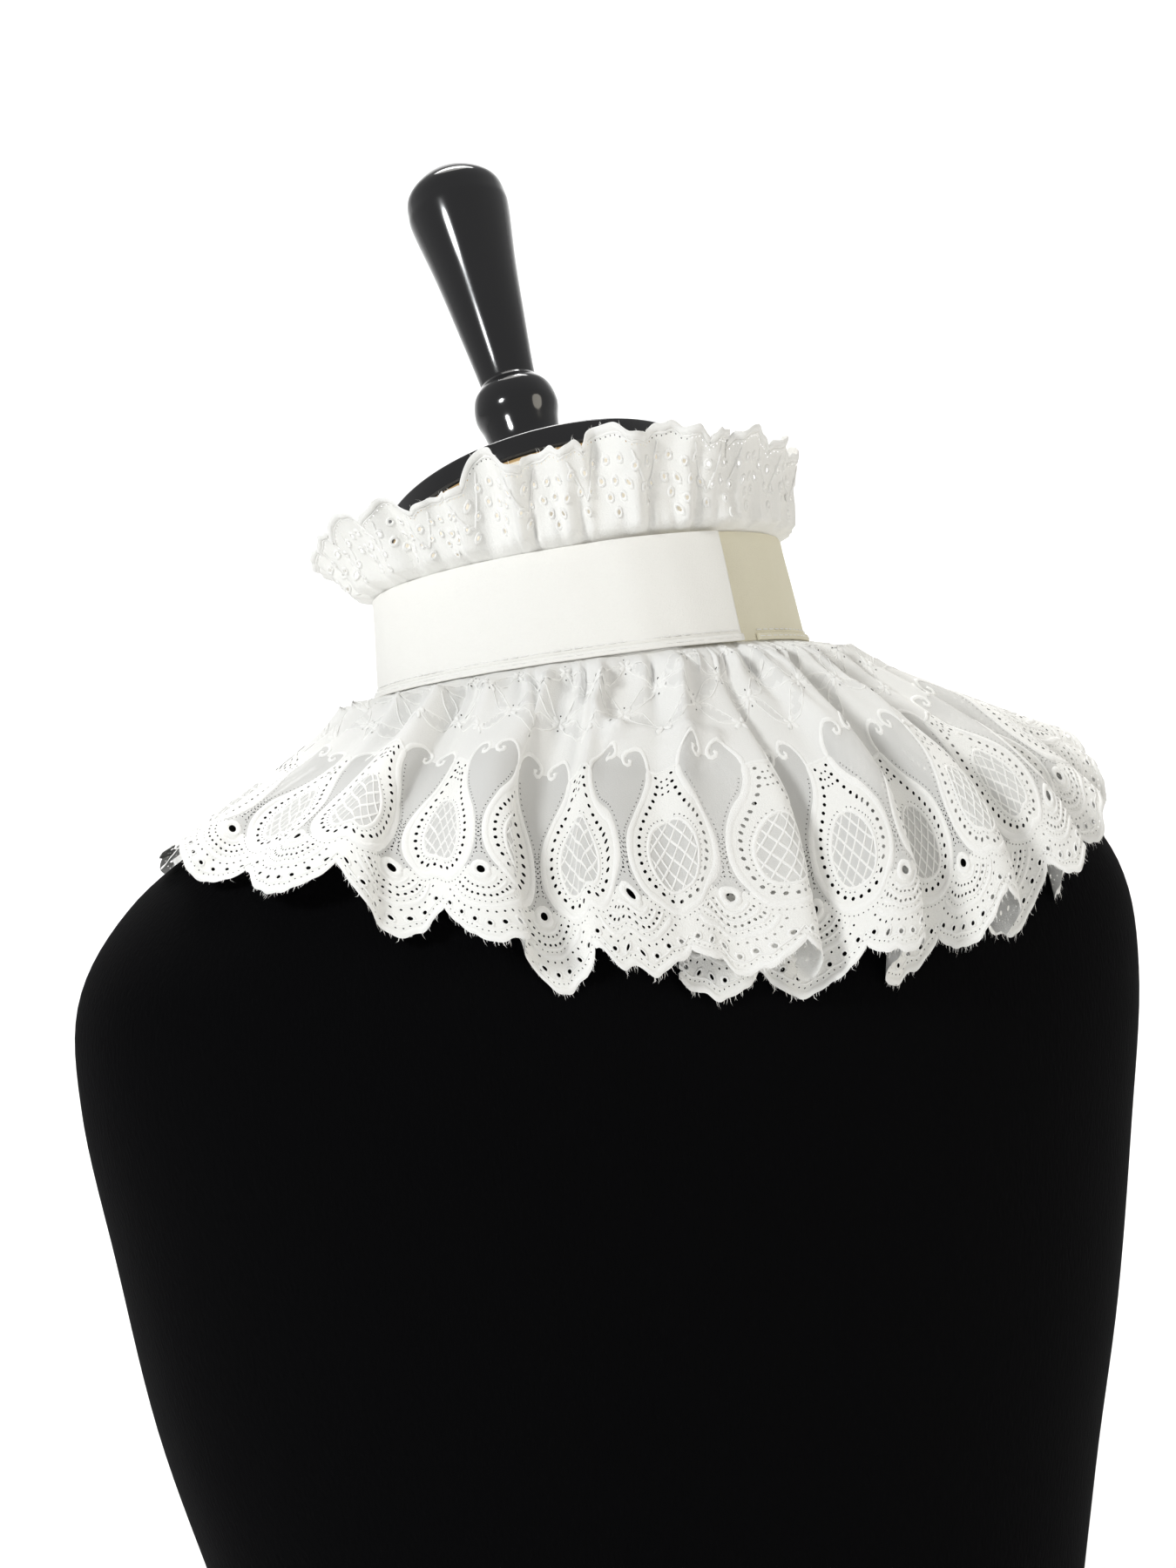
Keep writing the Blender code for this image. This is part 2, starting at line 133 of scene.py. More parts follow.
# The finial, turned about the cap's axis: height, radius
FINIAL = (
    (0, 0),
    (0, 0.0165),
    (0.004, 0.0165),
    (0.007, 0.0135),
    (0.014, 0.0115),
    (0.021, 0.0122),
    (0.027, 0.0136),
    (0.033, 0.0126),
    (0.037, 0.0096),
    (0.04, 0.0092),
    (0.06, 0.0113),
    (0.08, 0.0136),
    (0.098, 0.0163),
    (0.104, 0.0166),
    (0.11, 0.0154),
    (0.115, 0.0104),
    (0.1175, 0.005),
    (0.118, 0),
)

# Folds of the flounce, each from the valley before its crest; reach is how far down its lace hangs
FOLD_COLUMNS = ("seam_deg", "hem_deg", "repeats", "crest_mm", "steep", "lean", "lift_mm", "reach")
FOLDS = (
    (-2, -9, 1, 1.5, 0.3, 0, 0, 1.06),
    (5, -1, 2.3, 19, 0.6, 0.7, 0, 1.1),
    (24, 10, 2.7, 17, 0.5, 0.65, 0, 1.13),
    (38, 23, 2.4, 17, 0.5, 0.65, 0, 1.14),
    (51, 36, 2.3, 15, 0.5, 0.3, 0, 1.1),
    (65, 50, 2.1, 13, 0.6, 0.15, 0, 1.05),
    (79, 65, 2, 16, 0.7, 0.2, 1, 1.03),
    (94, 82, 2, 15, 0.7, -0.1, 1, 1),
    (107, 100, 2.1, 15, 0.7, 0.2, 1, 1),
    (122, 120, 2, 15, 0.7, -0.2, 1, 1),
    (138, 141, 2, 15, 0.75, 0.2, 1, 1),
    (155, 157, 2.1, 14, 0.75, 0.3, 1, 1),
    (172, 173, 2.44, 14, 0.75, -0.25, 1, 1),
    (189, 189, 2.1, 14, 0.75, -0.3, 1, 1),
    (206, 205, 2, 15, 0.75, 0.2, 1, 1),
    (223, 222, 2.1, 12, 0.7, 0.25, 1.5, 1),
    (240, 243, 1.6, 3.5, 0.6, 0.1, 0, 0.8),
    (262, 269, 1.5, 7, 0.4, 0.1, 2, 0.88),
    (284, 297, 1.8, 9, 0.4, 0.3, 5, 0.97),
    (307, 326, 1.68, 14, 0.6, 0.45, 5, 0.98),
    (326, 339, 2.64, 8, 0.7, -0.1, 0, 1.05),
)
FLOUNCE_END = (364.0, 360.0)
CURL_MM = 17.0
CURL_RADIUS_MM = 4.5
LACE_STARTS = 0.14

# Waves of the frill, each from the valley before its crest
WAVE_COLUMNS = ("seam_deg", "edge_deg", "repeats", "crest_mm", "steep", "lean", "flare_deg", "reach")
WAVES = (
    (17, 18, 0.9, 4, 0.3, -0.2, 18, 1),
    (34, 34, 0.9, 3.5, 0.3, 0.2, 17, 0.98),
    (51, 51, 0.9, 4, 0.3, 0.2, 14, 0.94),
    (68, 68, 1, 6, 0.4, 0.2, 14, 0.92),
    (85, 85, 1, 7, 0.5, -0.2, 20, 0.94),
    (100, 100, 1, 8, 0.5, 0.2, 26, 0.96),
    (114, 114, 1, 8, 0.5, 0.2, 38, 0.98),
    (128, 128, 1, 7, 0.5, -0.2, 48, 0.98),
    (142, 142, 1, 8, 0.5, 0.2, 56, 0.98),
    (156, 156, 1, 8, 0.5, -0.2, 62, 0.98),
    (170, 170, 1, 7, 0.5, 0.2, 66, 0.98),
    (184, 184, 1, 8, 0.5, 0.2, 68, 0.98),
    (198, 198, 1, 8, 0.5, -0.2, 66, 0.98),
    (212, 212, 1, 7, 0.5, 0.2, 62, 0.96),
    (226, 226, 1, 6, 0.5, -0.2, 56, 0.88),
    (240, 240, 1, 4, 0.5, 0.2, 50, 0.8),
    (253, 253, 1, 3, 0.5, 0.2, 48, 0.76),
    (267, 267, 1, 4, 0.5, -0.2, 44, 0.82),
    (280, 280, 0.9, 6, 0.4, 0.2, 42, 0.92),
    (293, 293, 0.9, 7, 0.4, 0.2, 36, 0.86),
    (305, 305, 0.9, 6, 0.4, -0.2, 34, 0.74),
    (317, 317, 0.9, 8, 0.5, 0, 18, 1.02),
    (329, 329, 1, 5, 0.4, 0.2, 14, 0.9),
    (344, 344, 1, 6, 0.4, 0, 7, 1.06),
    (360, 360, 1.2, 5, 0.4, 0.2, 14, 1.04),
)
FRILL_END = (378.0, 379.0)

# Gathers that run out from the seams: per_repeat, height_mm, phase, reach_mm
GATHERS = (
    (0.93, 6, 0.1, 84),
    (1.87, 4.8, 0.45, 60),
    (3.71, 3, 0.8, 30),
)

# Soft creases, each a line in a fold's flat cloth: positive heights stand out and negative ones are troughs
CREASE_COLUMNS = ("fold", "from_share", "from_mm", "to_share", "to_mm", "height_mm", "width_mm")
CREASES = (
    (20, 0.12, 18, 0.4, 33, 3.4, 3.2),
    (20, 0.4, 33, 0.86, 36.5, 3, 2.8),
    (20, 0.25, 41, 0.8, 45, -1.8, 5),
    (19, 0.45, 20, 0.55, 60, 1.1, 4.5),
    (18, 0.3, 15, 0.45, 70, -0.9, 5),
    (18, 0.7, 18, 0.62, 62, 0.9, 5),
    (17, 0.4, 20, 0.5, 75, -0.8, 5),
    (1, 0.3, 22, 0.55, 40, 0.9, 4),
    (2, 0.3, 18, 0.6, 44, 0.9, 4),
    (3, 0.3, 24, 0.45, 58, -0.8, 5),
    (5, 0.2, 20, 0.6, 46, 0.9, 4.5),
    (8, 0.4, 26, 0.6, 66, -0.8, 5),
    (11, 0.3, 18, 0.7, 50, 0.9, 4.5),
    (14, 0.4, 22, 0.6, 60, -0.8, 5),
)


# Curves and sections


def smooth(table, place):
    """Rows of a table at fractional row numbers, on a Catmull-Rom curve through its rows."""
    table, place = np.array(table, float), np.asarray(place, float)
    last = len(table) - 1
    row = np.clip(np.floor(place).astype(int), 0, last - 1)
    t = (place - row)[..., None]
    before, after = table[np.maximum(row - 1, 0)], table[np.minimum(row + 2, last)]
    start, end = table[row], table[row + 1]
    m0, m1 = (end - before) / 2, (after - start) / 2
    return (
        (2 * t**3 - 3 * t**2 + 1) * start
        + (t**3 - 2 * t**2 + t) * m0
        + (3 * t**2 - 2 * t**3) * end
        + (t**3 - t**2) * m1
    )


def section_points(section, degrees, grow=0.0):
    """Points at these angles on sections, each a row like the torso's, grown outwards."""
    height, centre_y, width, back, front, tilt, square = np.moveaxis(np.asarray(section, float), -1, 0)
    turn = np.radians(degrees)
    sine, cosine = np.sin(turn), np.cos(turn)
    power = 2 / square
    side = np.sign(sine) * np.abs(sine) ** power * (width + grow)
    depth = np.where(cosine > 0, back, front) + grow
    rear = np.sign(cosine) * np.abs(cosine) ** power * depth
    lean = np.radians(tilt)
    return np.stack([side, centre_y - rear * np.cos(lean), height + rear * np.sin(lean)], axis=-1)


def up_axis(tilt_deg):
    """The direction square to a section that is tilted this much."""
    lean = math.radians(tilt_deg)
    return np.array([0.0, math.sin(lean), math.cos(lean)])


def ease(share):
    """A share from 0 to 1 that starts and ends slowly."""
    return share * share * (3 - 2 * share)


def unit(vectors):
    return vectors / np.maximum(np.linalg.norm(vectors, axis=-1, keepdims=True), 1e-12)


# Cloth surfaces


def bilinear(grid, column, row):
    """A grid's values at fractional columns and rows."""
    i, j = column.astype(int), row.astype(int)
    across, down = column - i, row - j
    if grid.ndim == 3:
        across, down = across[:, None], down[:, None]
    low = grid[i, j] * (1 - across) + grid[i + 1, j] * across
    high = grid[i, j + 1] * (1 - across) + grid[i + 1, j + 1] * across
    return low * (1 - down) + high * down


class Body:
    """The torso below the neck seam as a grid of points and normals, by angle and by depth down from the seam."""

    DEGREES = np.arange(-30.0, 411.0, 1.0)
    STEP = 0.00125
    TOP = -0.0025
    BOTTOM = 0.1401
    LOWEST_ROW = 3
    ROWS = 121

    def __init__(self):
        depths = np.arange(self.TOP, self.BOTTOM, self.STEP)
        rows = smooth(TORSO, np.linspace(SEAM_ROW + 0.6, self.LOWEST_ROW, self.ROWS))
        lines = section_points(rows[None], self.DEGREES[:, None])
        strides = np.linalg.norm(np.diff(lines, axis=1), axis=2)
        along = np.concatenate([np.zeros((len(lines), 1)), np.cumsum(strides, axis=1)], axis=1)
        self.points = np.empty((len(lines), len(depths), 3))
        seam = section_points(np.array(TORSO[SEAM_ROW])[None], self.DEGREES)
        for i, line in enumerate(lines):
            nearest = np.argmin(np.linalg.norm(line - seam[i], axis=1))
            along[i] -= along[i][nearest]
            for k in range(3):
                self.points[i, :, k] = np.interp(depths, along[i], line[:, k])
        across = np.gradient(self.points, axis=0)
        down = np.gradient(self.points, axis=1)
        self.normals = unit(np.cross(down, across))

    def at(self, degrees, depth):
        """Points and normals at these places, between the grid's own."""
        column = np.clip(degrees - self.DEGREES[0], 0, len(self.DEGREES) - 1.001)
        row = np.clip((depth - self.TOP) / self.STEP, 0, self.points.shape[1] - 1.001)
        return bilinear(self.points, column, row), unit(bilinear(self.normals, column, row))


BODY = Body()
BODY_MIDDLE = np.array([0.0, 0.0, 0.30])


def hump(share):
    """A wave's height, from 0 in its valleys to 1 on its crest."""
    return (1 - np.cos(2 * math.pi * share)) / 2


def fold_turn(share, steep, lean):
    """How far round its width a fold is at a share of its profile: steep flanks are long, lean moves the crest."""
    flanks = steep / (4 * math.pi) * np.sin(4 * math.pi * share)
    return share + flanks + lean * hump(share) / 2


def even_shares(fold, widths_mm):
    """For each fold, its profile's shares at even steps of lace: cloth keeps its length at the free edge."""
    share = np.linspace(0, 1, 65)
    rows = []
    for width, crest, steep, lean in zip(widths_mm, fold["crest_mm"], fold["steep"], fold["lean"]):
        across = np.diff(width * fold_turn(share, steep, lean))
        rise = np.diff(crest * hump(share))
        along = np.concatenate([[0], np.cumsum(np.hypot(across, rise))])
        rows.append(np.interp(np.linspace(0, along[-1], len(share)), along, share))
    return np.array(rows)


def on_profile(shares, index, share):
    """The profile's share for a share of the fold's lace."""
    place = np.clip(share, 0, 1) * (shares.shape[1] - 1)
    low = np.minimum(place.astype(int), shares.shape[1] - 2)
    return shares[index, low] + (shares[index, low + 1] - shares[index, low]) * (place - low)


def between(column, index, share):
    """A column's value between a fold's start and the next one's."""
    values = np.append(column, column[0])
    return values[index] + (values[index + 1] - values[index]) * share


def ripple(turns, phase=0.0):
    """A sine wave by whole turns."""
    return np.sin(2 * math.pi * turns + phase)


def gathers(lace, y):
    """Height of the gathers at each flat place, in millimetres above zero."""
    drift = 0.11 * ripple(0.37 * lace) + 0.07 * ripple(0.83 * lace, 1.0)
    grown = 0.3 + 0.7 * np.clip(y / 9, 0, 1) ** 0.7
    total = 0
    for per_repeat, height, phase, reach in GATHERS:
        fade = np.clip(1 - y / reach, 0, 1) ** 1.2
        total = total + height * fade * (1 + ripple(per_repeat * (lace + drift) + phase)) / 2
    return total * grown


def creases(lace, y):
    """Height of the soft creases at each flat place of the flounce, in millimetres."""
    total = np.zeros_like(lace)
    starts = np.concatenate([[0], np.cumsum([row[2] for row in FOLDS])]) * FLOUNCE_PITCH
    for row in CREASES:
        crease = dict(zip(CREASE_COLUMNS, row))
        first, width = starts[crease["fold"]], starts[crease["fold"] + 1] - starts[crease["fold"]]
        start = np.array([first + crease["from_share"] * width, crease["from_mm"]])
        along = np.array([first + crease["to_share"] * width, crease["to_mm"]]) - start
        place = np.stack([lace * FLOUNCE_PITCH, y], axis=1) - start
        share = np.clip(place @ along / (along @ along), 0, 1)
        away = np.linalg.norm(place - share[:, None] * along, axis=1)
        total += crease["height_mm"] * np.exp(-((away / crease["width_mm"]) ** 2))
    return total


def buckles(lace, share):
    """Small uneven buckles of soft cloth, in millimetres."""
    first = ripple(0.83 * lace + 0.9 * share, 0.6) * ripple(1.4 * share - 0.31 * lace)
    second = ripple(1.31 * lace - 1.2 * share, 2.0) * ripple(1.1 * share + 0.17 * lace)
    return 0.5 * first + 0.4 * second


class Strip:
    """A gathered strip of lace on its form. Its lines from seam to edge keep their length, so each flat place is
    looked up in a grid of how far down the shape it comes."""

    COLUMN_MM = 1.0

    def __init__(self, names, table, end, widths_mm, depth_mm, pitch, shift, curl_mm=0.0):
        self.pitch, self.shift = pitch, shift
        self.fold = dict(zip(names, np.array(table, float).T))
        self.edges = np.concatenate([[0], np.cumsum(self.fold["repeats"])])
        self.starts = [np.append(self.fold[names[k]], end[k]) for k in (0, 1)]
        self.shares = even_shares(self.fold, widths_mm)
        self.laid_mm = self.edges[-1] * pitch
        self.length_mm = self.laid_mm + curl_mm
        x = np.arange(0, self.length_mm + self.COLUMN_MM, self.COLUMN_MM)
        self.even = np.arange(0, depth_mm + 4, 1.0)
        steps = np.arange(0, depth_mm * 1.25, 2.0)
        grid_x, grid_y = np.meshgrid(x, steps, indexing="ij")
        points = self.shape(grid_x.ravel(), grid_y.ravel()).reshape(*grid_x.shape, 3)
        along = np.cumsum(np.linalg.norm(np.diff(points, axis=1), axis=2), axis=1) * 1000
        along = np.concatenate([np.zeros((len(x), 1)), along], axis=1)
        wanted = self.even[None] * self.drop(x)[:, None]
        self.falls = np.array([np.interp(row, lengths, steps) for row, lengths in zip(wanted, along)])

    def start(self, edge, index, share):
        """Degrees round the form between a fold's start and the next one's: edge 0 is the seam and 1 the edge."""
        starts = self.starts[edge]
        return starts[index] + (starts[index + 1] - starts[index]) * share

    def place(self, x):
        """Fold number, share of its lace and share of its profile at each x."""
        lace = np.clip(x / self.pitch, 0, self.edges[-1] - 1e-6)
        index = np.clip(np.searchsorted(self.edges, lace, side="right") - 1, 0, len(self.edges) - 2)
        share = (lace - self.edges[index]) / self.fold["repeats"][index]
        return index, share, on_profile(self.shares, index, share)

    def drop(self, x):
        """How far down the lace hangs at each x, as a share of its length."""
        index, share, _ = self.place(x)
        return between(self.fold["reach"], index, share)

    def surface(self, drawn_x, y):
        """Points of the cloth at places of the lace's drawing, whose repeats are as wide as PITCH."""
        x = np.clip(drawn_x / PITCH * self.pitch - self.shift, 0, self.length_mm)
        column = np.clip(x / self.COLUMN_MM, 0, len(self.falls) - 1.001)
        row = np.clip(y, 0, len(self.even) - 1.001)
        return self.shape(x, bilinear(self.falls, column, row))


class Flounce(Strip):
    """The flounce, in folds over the shoulders."""

    # Depths in metres: where the folds' widths are measured, and by where a fold has its whole lean, its
    # clearance from the form and its height
    RIM_DEPTH = 0.1
    LEAN_DEPTH = 0.025
    CLEAR_DEPTH = 0.002
    PUFF_DEPTH = 0.0035

    # Clearance from the form at the seam, and what it gains below it, in metres
    SEAM_CLEAR = 0.0003
    BODY_CLEAR = 0.0009

    # How folds grow with depth: round the form, off it, and in their lift
    FAN_POWER = 0.75
    CREST_POWER = 0.62
    LIFT_POWER = 1.5

    # The last fold's free edge: the share it starts from, and how high it stands at the seam and more at the hem
    FREE_FROM = 0.6
    FREE_MM = 9.0
    FREE_HEM_MM = 5.0

    # The curl of the free end: tight above the first depth, and open this far below it
    TIGHT_RADIUS_MM = 1.2
    TIGHT_TO_MM = 14
    OPEN_OVER_MM = 50
    CURL_MOST = 4.4

    def __init__(self):
        edges = np.append([row[1] for row in FOLDS], FLOUNCE_END[1])
        degrees = np.arange(-20.0, 371.0)
        rim = BODY.at(degrees, np.full(len(degrees), self.RIM_DEPTH))[0]
        along = np.concatenate([[0], np.cumsum(np.linalg.norm(np.diff(rim, axis=0), axis=1))]) * 1000
        widths_mm = np.diff(np.interp(edges, degrees, along))
        shift = LACE_STARTS * FLOUNCE_PITCH
        super().__init__(FOLD_COLUMNS, FOLDS, FLOUNCE_END, widths_mm, 106, FLOUNCE_PITCH, shift, CURL_MM)

    def shape(self, x, y):
        """Points at x along the strip and y down the body, in millimetres; the free end curls under."""
        points = self.laid(np.minimum(x, self.laid_mm), y)
        curled = np.maximum(x - self.laid_mm, 0)
        if not curled.any():
            return points
        edge = np.full_like(x, self.laid_mm)
        along = unit(points - self.laid(edge - 1, y))
        down = unit(self.laid(edge, y + 1) - self.laid(edge, np.maximum(y - 1, 0)))
        under = unit(np.cross(along, down))
        under = under * np.sign(np.sum(under * (BODY_MIDDLE - points), axis=1))[:, None]
        opened = np.clip((y - self.TIGHT_TO_MM) / self.OPEN_OVER_MM, 0, 1)
        radius = self.TIGHT_RADIUS_MM + (CURL_RADIUS_MM - self.TIGHT_RADIUS_MM) * ease(opened)
        curled = curled * (0.35 + 0.65 * opened)
        turn = np.minimum(curled / radius, self.CURL_MOST)
        ahead, below = radius * np.sin(turn) / 1000, radius * (1 - np.cos(turn)) / 1000
        return points + along * ahead[:, None] + under * below[:, None]

    def laid(self, x, y):
        """Points of the cloth that lies on the form, up to where the free end curls."""
        index, share, profile = self.place(x)
        fold, lace, depth = self.fold, x / self.pitch, y / 1000 - SEAM_TUCK
        down = np.clip(depth / FLOUNCE_DEPTH, 0, 1.2)
        turn = fold_turn(profile, fold["steep"][index], fold["lean"][index])
        leaned = np.clip(depth / self.LEAN_DEPTH, 0, 1)
        seam = self.start(0, index, share * (1 - leaned) + turn * leaned)
        degrees = seam + (self.start(1, index, turn) - seam) * down**self.FAN_POWER
        lifted = between(fold["lift_mm"], index, share)
        crest = fold["crest_mm"][index] * hump(profile)
        freed = np.where((index == len(FOLDS) - 1) & (share > self.FREE_FROM), share - self.FREE_FROM, 0)
        free_edge = freed / (1 - self.FREE_FROM) * (self.FREE_MM + self.FREE_HEM_MM * np.clip(down, 0, 1))
        height = crest * down**self.CREST_POWER + lifted * down**self.LIFT_POWER
        height = height + free_edge * (0.5 + 0.5 * down**0.5)
        soft = (creases(lace, y) + 0.9 * buckles(lace, down)) * np.clip(down * 4, 0, 1)
        curl = 0.8 * np.cos(2 * math.pi * (lace + LACE_STARTS)) * np.clip((down - 0.8) * 5, 0, 1)
        clear = self.SEAM_CLEAR + self.BODY_CLEAR * np.clip(depth / self.CLEAR_DEPTH, 0, 1)
        ends = np.clip(np.minimum(lace, self.edges[-1] - lace) / 0.3, 0, 1)
        puffed = np.clip(depth / self.PUFF_DEPTH, 0, 1) ** 0.5
        rise = (height + gathers(lace, y) * ends) * puffed + soft + curl
        above = clear + np.maximum(rise, 0) / 1000
        point, normal = BODY.at(degrees, depth)
        angle = np.radians(degrees)
        level = np.stack([np.sin(angle), -np.cos(angle), 0 * angle], axis=1)
        near_seam = np.clip(1 - depth / SEAM_BEND, 0, 1)[:, None]
        return point + (normal * (1 - near_seam) + level * near_seam) * above[:, None]


class Frill(Strip):
    """The frill, in waves that stand up from the band."""

    def __init__(self):
        edges = np.append([row[1] for row in WAVES], FRILL_END[1])
        flares = np.radians([row[6] for row in WAVES])
        radii = (BAND[1][2] + FRILL_HEIGHT * np.sin(flares)) * 1000
        widths_mm = np.radians(np.diff(edges)) * radii
        super().__init__(WAVE_COLUMNS, WAVES, FRILL_END, widths_mm, FRILL_HEIGHT * 1000, FRILL_PITCH, 0.0)

    def shape(self, x, y):
        """Points at x along the strip and y up from the band, in millimetres."""
        index, share, profile = self.place(x)
        fold, lace, height = self.fold, x / self.pitch, y / 1000 - FRILL_TUCK
        up_share = np.clip(height / FRILL_HEIGHT, 0, 1.2)
        free = np.clip(height / 0.003, 0, 1)
        turn = fold_turn(profile, fold["steep"][index], fold["lean"][index])
        seam = self.start(0, index, share)
        degrees = seam + (self.start(1, index, turn) - seam) * up_share**0.75
        flare = np.radians(between(fold["flare_deg"], index, share))
        crest = fold["crest_mm"][index] / 1000 * hump(profile)
        bend = flare * (0.55 + 0.45 * up_share)
        soft = 0.8 * buckles(lace * 1.6, up_share) * np.clip(up_share * 3, 0, 1)
        rippled = 0.55 * gathers(lace * 1.15, y * 1.5)
        out = np.maximum(height, 0) * np.sin(bend) + crest * up_share**0.7 + (rippled * free + soft) / 1000
        out = out + 0.0011 * free - 0.0005
        up = height * np.cos(bend)
        section = np.array(BAND[1])[None]
        ring = section_points(section, degrees)
        outward = unit(ring - section_points(section, degrees, -BAND[1][2]))
        return ring + outward * out[:, None] + up_axis(BAND[1][5]) * up[:, None]


def lay(surface, flat, side):
    """Flat points (x, y, height), in millimetres, laid on a surface: each is raised along the cloth's normal."""
    x, y, rise = flat.T
    reach = 0.15
    here = surface(x, y)
    along = surface(x + reach, y) - surface(x - reach, y)
    across = surface(x, y + reach) - surface(x, np.maximum(y - reach, 0))
    normal = unit(np.cross(across, along)) * side
    return here + normal * (rise / 1000)[:, None]


# Flat drawings: curves


def resample(path, step):
    """A polyline's points again, at even steps."""
    path = np.asarray(path, float)
    along = np.concatenate([[0], np.cumsum(np.linalg.norm(np.diff(path, axis=0), axis=1))])
    count = max(int(round(along[-1] / step)), 1)
    places = np.linspace(0, along[-1], count + 1)
    return np.stack([np.interp(places, along, path[:, k]) for k in (0, 1)], axis=1)


def curve(points, per_span=8):
    """A smooth curve through the points."""
    return smooth(points, np.linspace(0, len(points) - 1, (len(points) - 1) * per_span + 1))


def beside(path, distance):
    """An open path moved sideways: a path that runs down moves to larger x."""
    tangent = unit(np.gradient(path, axis=0))
    return path + np.stack([tangent[:, 1], -tangent[:, 0]], axis=1) * distance


def closed(path):
    """A path that ends where it starts."""
    return np.concatenate([path, path[:1]])


def circle(centre, radius, count, start=0.0, stop=360.0):
    """Points round a circle; a full one doesn't repeat its first point."""
    full = stop - start >= 360
    turn = np.radians(np.linspace(start, stop, count, endpoint=not full))
    return np.array(centre) + radius * np.stack([np.cos(turn), np.sin(turn)], axis=1)


def mirrored(path, middle=0.0):
    """A path and its mirror image about x = middle."""
    flipped = np.array(path, float)
    flipped[:, 0] = 2 * middle - flipped[:, 0]
    return [np.array(path, float), flipped]


# Flat drawings: the flounce's repeat, from the middle of one pear at x = 0 to the next, as (x, depth)

PEAR = (
    (4.4, 45.5),
    (4.8, 50),
    (6.4, 55),
    (9, 60),
    (11.4, 65.5),
    (12.4, 71.5),
    (11.9, 77),
    (9.8, 82.1),
    (6, 85.9),
    (2.2, 87.3),
    (0, 87.5),
)
EGG = (
    (0, 61.5),
    (2.6, 62.3),
    (4.9, 65.2),
    (6.5, 69.4),
    (6.9, 73.6),
    (6, 78),
    (3.7, 81.2),
    (0, 82.3),
)
HEART_TOP = ((0.0, 42.0), (1.4, 40.5), (2.7, 38.9), (5.3, 38.4), (7.7, 39.7), (9.4, 42.5), (9.8, 45.5))
SCROLL = (
    (4.4, 45.5),
    (4.9, 42.5),
    (6.6, 39.7),
    (9, 38.4),
    (11.6, 38.9),
    (12.9, 40.9),
    (12.3, 42.9),
    (10.7, 43.1),
    (10.2, 41.9),
    (11, 41.3),
)
EYELET_AT = (PITCH / 2, 85.3)
EYELET_RADIUS = 1.15
EDGE_DOTS = ((2.3, 95.4), (6.3, 97.9), (10.3, 100.2), (14.25, 101.3))
NECK_DOTS = ((2.3, 47.4), (0.8, 49.0), (0.8, 51.1), (0.8, 53.2))
FLOWERS = ((0.0, 32.0), (PITCH / 2, 24.0), (0.0, 16.0), (PITCH / 2, 8.0))


def hem_depth(x):
    """Depth of the flounce's edge at each x: one stepped lobe to a repeat, with its notch under the pear."""
    share = np.abs((x / PITCH) % 1.0 - 0.5) * 2
    steps = 0.55 * np.abs(np.sin(math.pi * 6 * (x / PITCH)))
    return FLOUNCE_DEPTH * 1000 - 0.5 - FLOUNCE_SCALLOP * share**1.4 + steps


def hem_path(offset, start=0.0, stop=PITCH, step=1.0):
    """A line along the edge, this far inside it."""
    x = np.linspace(start, stop, int(round((stop - start) / step)) + 1)
    return np.stack([x, hem_depth(x) - offset], axis=1)


def flounce_holes():
    """Eyelets of one repeat: (x, y, radius)."""
    pear = curve(PEAR)
    egg = curve(EGG)
    holes = []
    for distance, step, radius in ((-2.7, 2.5, 0.57), (1.7, 1.4, 0.23)):
        row = resample(beside(pear, distance)[8:], step)
        for side in mirrored(row[:-1]):
            holes += [(x, y, radius) for x, y in side]
        holes.append((0.0, row[-1][1], radius))
    for side in mirrored(resample(beside(egg, 1.0), 1.45)[1:-1]):
        holes += [(x, y, 0.24) for x, y in side]
    for side in mirrored(NECK_DOTS):
        holes += [(x, y, 0.52 if abs(x) > 2 else 0.36) for x, y in side]
    holes.append((*EYELET_AT, EYELET_RADIUS))
    for radius, count, size in ((5.6, 9, 0.33), (7.9, 11, 0.42), (9.8, 15, 0.22), (12.6, 13, 0.33)):
        holes += [(x, y, size) for x, y in circle(EYELET_AT, radius, count, 28, 152)]
    for y in np.arange(68.5, 80.5, 1.4):
        holes += [(PITCH / 2 - 0.7, y, 0.26), (PITCH / 2 + 0.7, y, 0.26)]
    for x, y in EDGE_DOTS:
        holes.append((x, y, 0.62))
        if x < PITCH / 2:
            holes.append((PITCH - x, y, 0.62))
    fine = resample(hem_path(2.9), 1.6)[:-1]
    holes += [(x, y, 0.24) for x, y in fine]
    for x, y in FLOWERS[1:]:
        holes += [(x + dx, y + dy, 0.3) for dx, dy in ((0, -2.4), (0, 2.4))]
    return np.array(holes)


def in_shape(points, outline):
    """Which points lie inside a closed outline."""
    x, y = points[:, 0][:, None], points[:, 1][:, None]
    ax, ay = outline[:, 0][None], outline[:, 1][None]
    bx, by = np.roll(outline[:, 0], -1)[None], np.roll(outline[:, 1], -1)[None]
    spans = (ay > y) != (by > y)
    with np.errstate(divide="ignore", invalid="ignore"):
        crossing = ax + (y - ay) / (by - ay) * (bx - ax)
    return (spans & (x < crossing)).sum(axis=1) % 2 == 1


def pear_outline():
    """The pear's outline, open at its neck."""
    right = curve(PEAR)
    return np.concatenate([right, mirrored(right)[1][-2::-1]])


def egg_outline():
    """The closed outline of the egg inside the pear."""
    right = curve(EGG)
    return np.concatenate([right, mirrored(right)[1][-2:0:-1]])


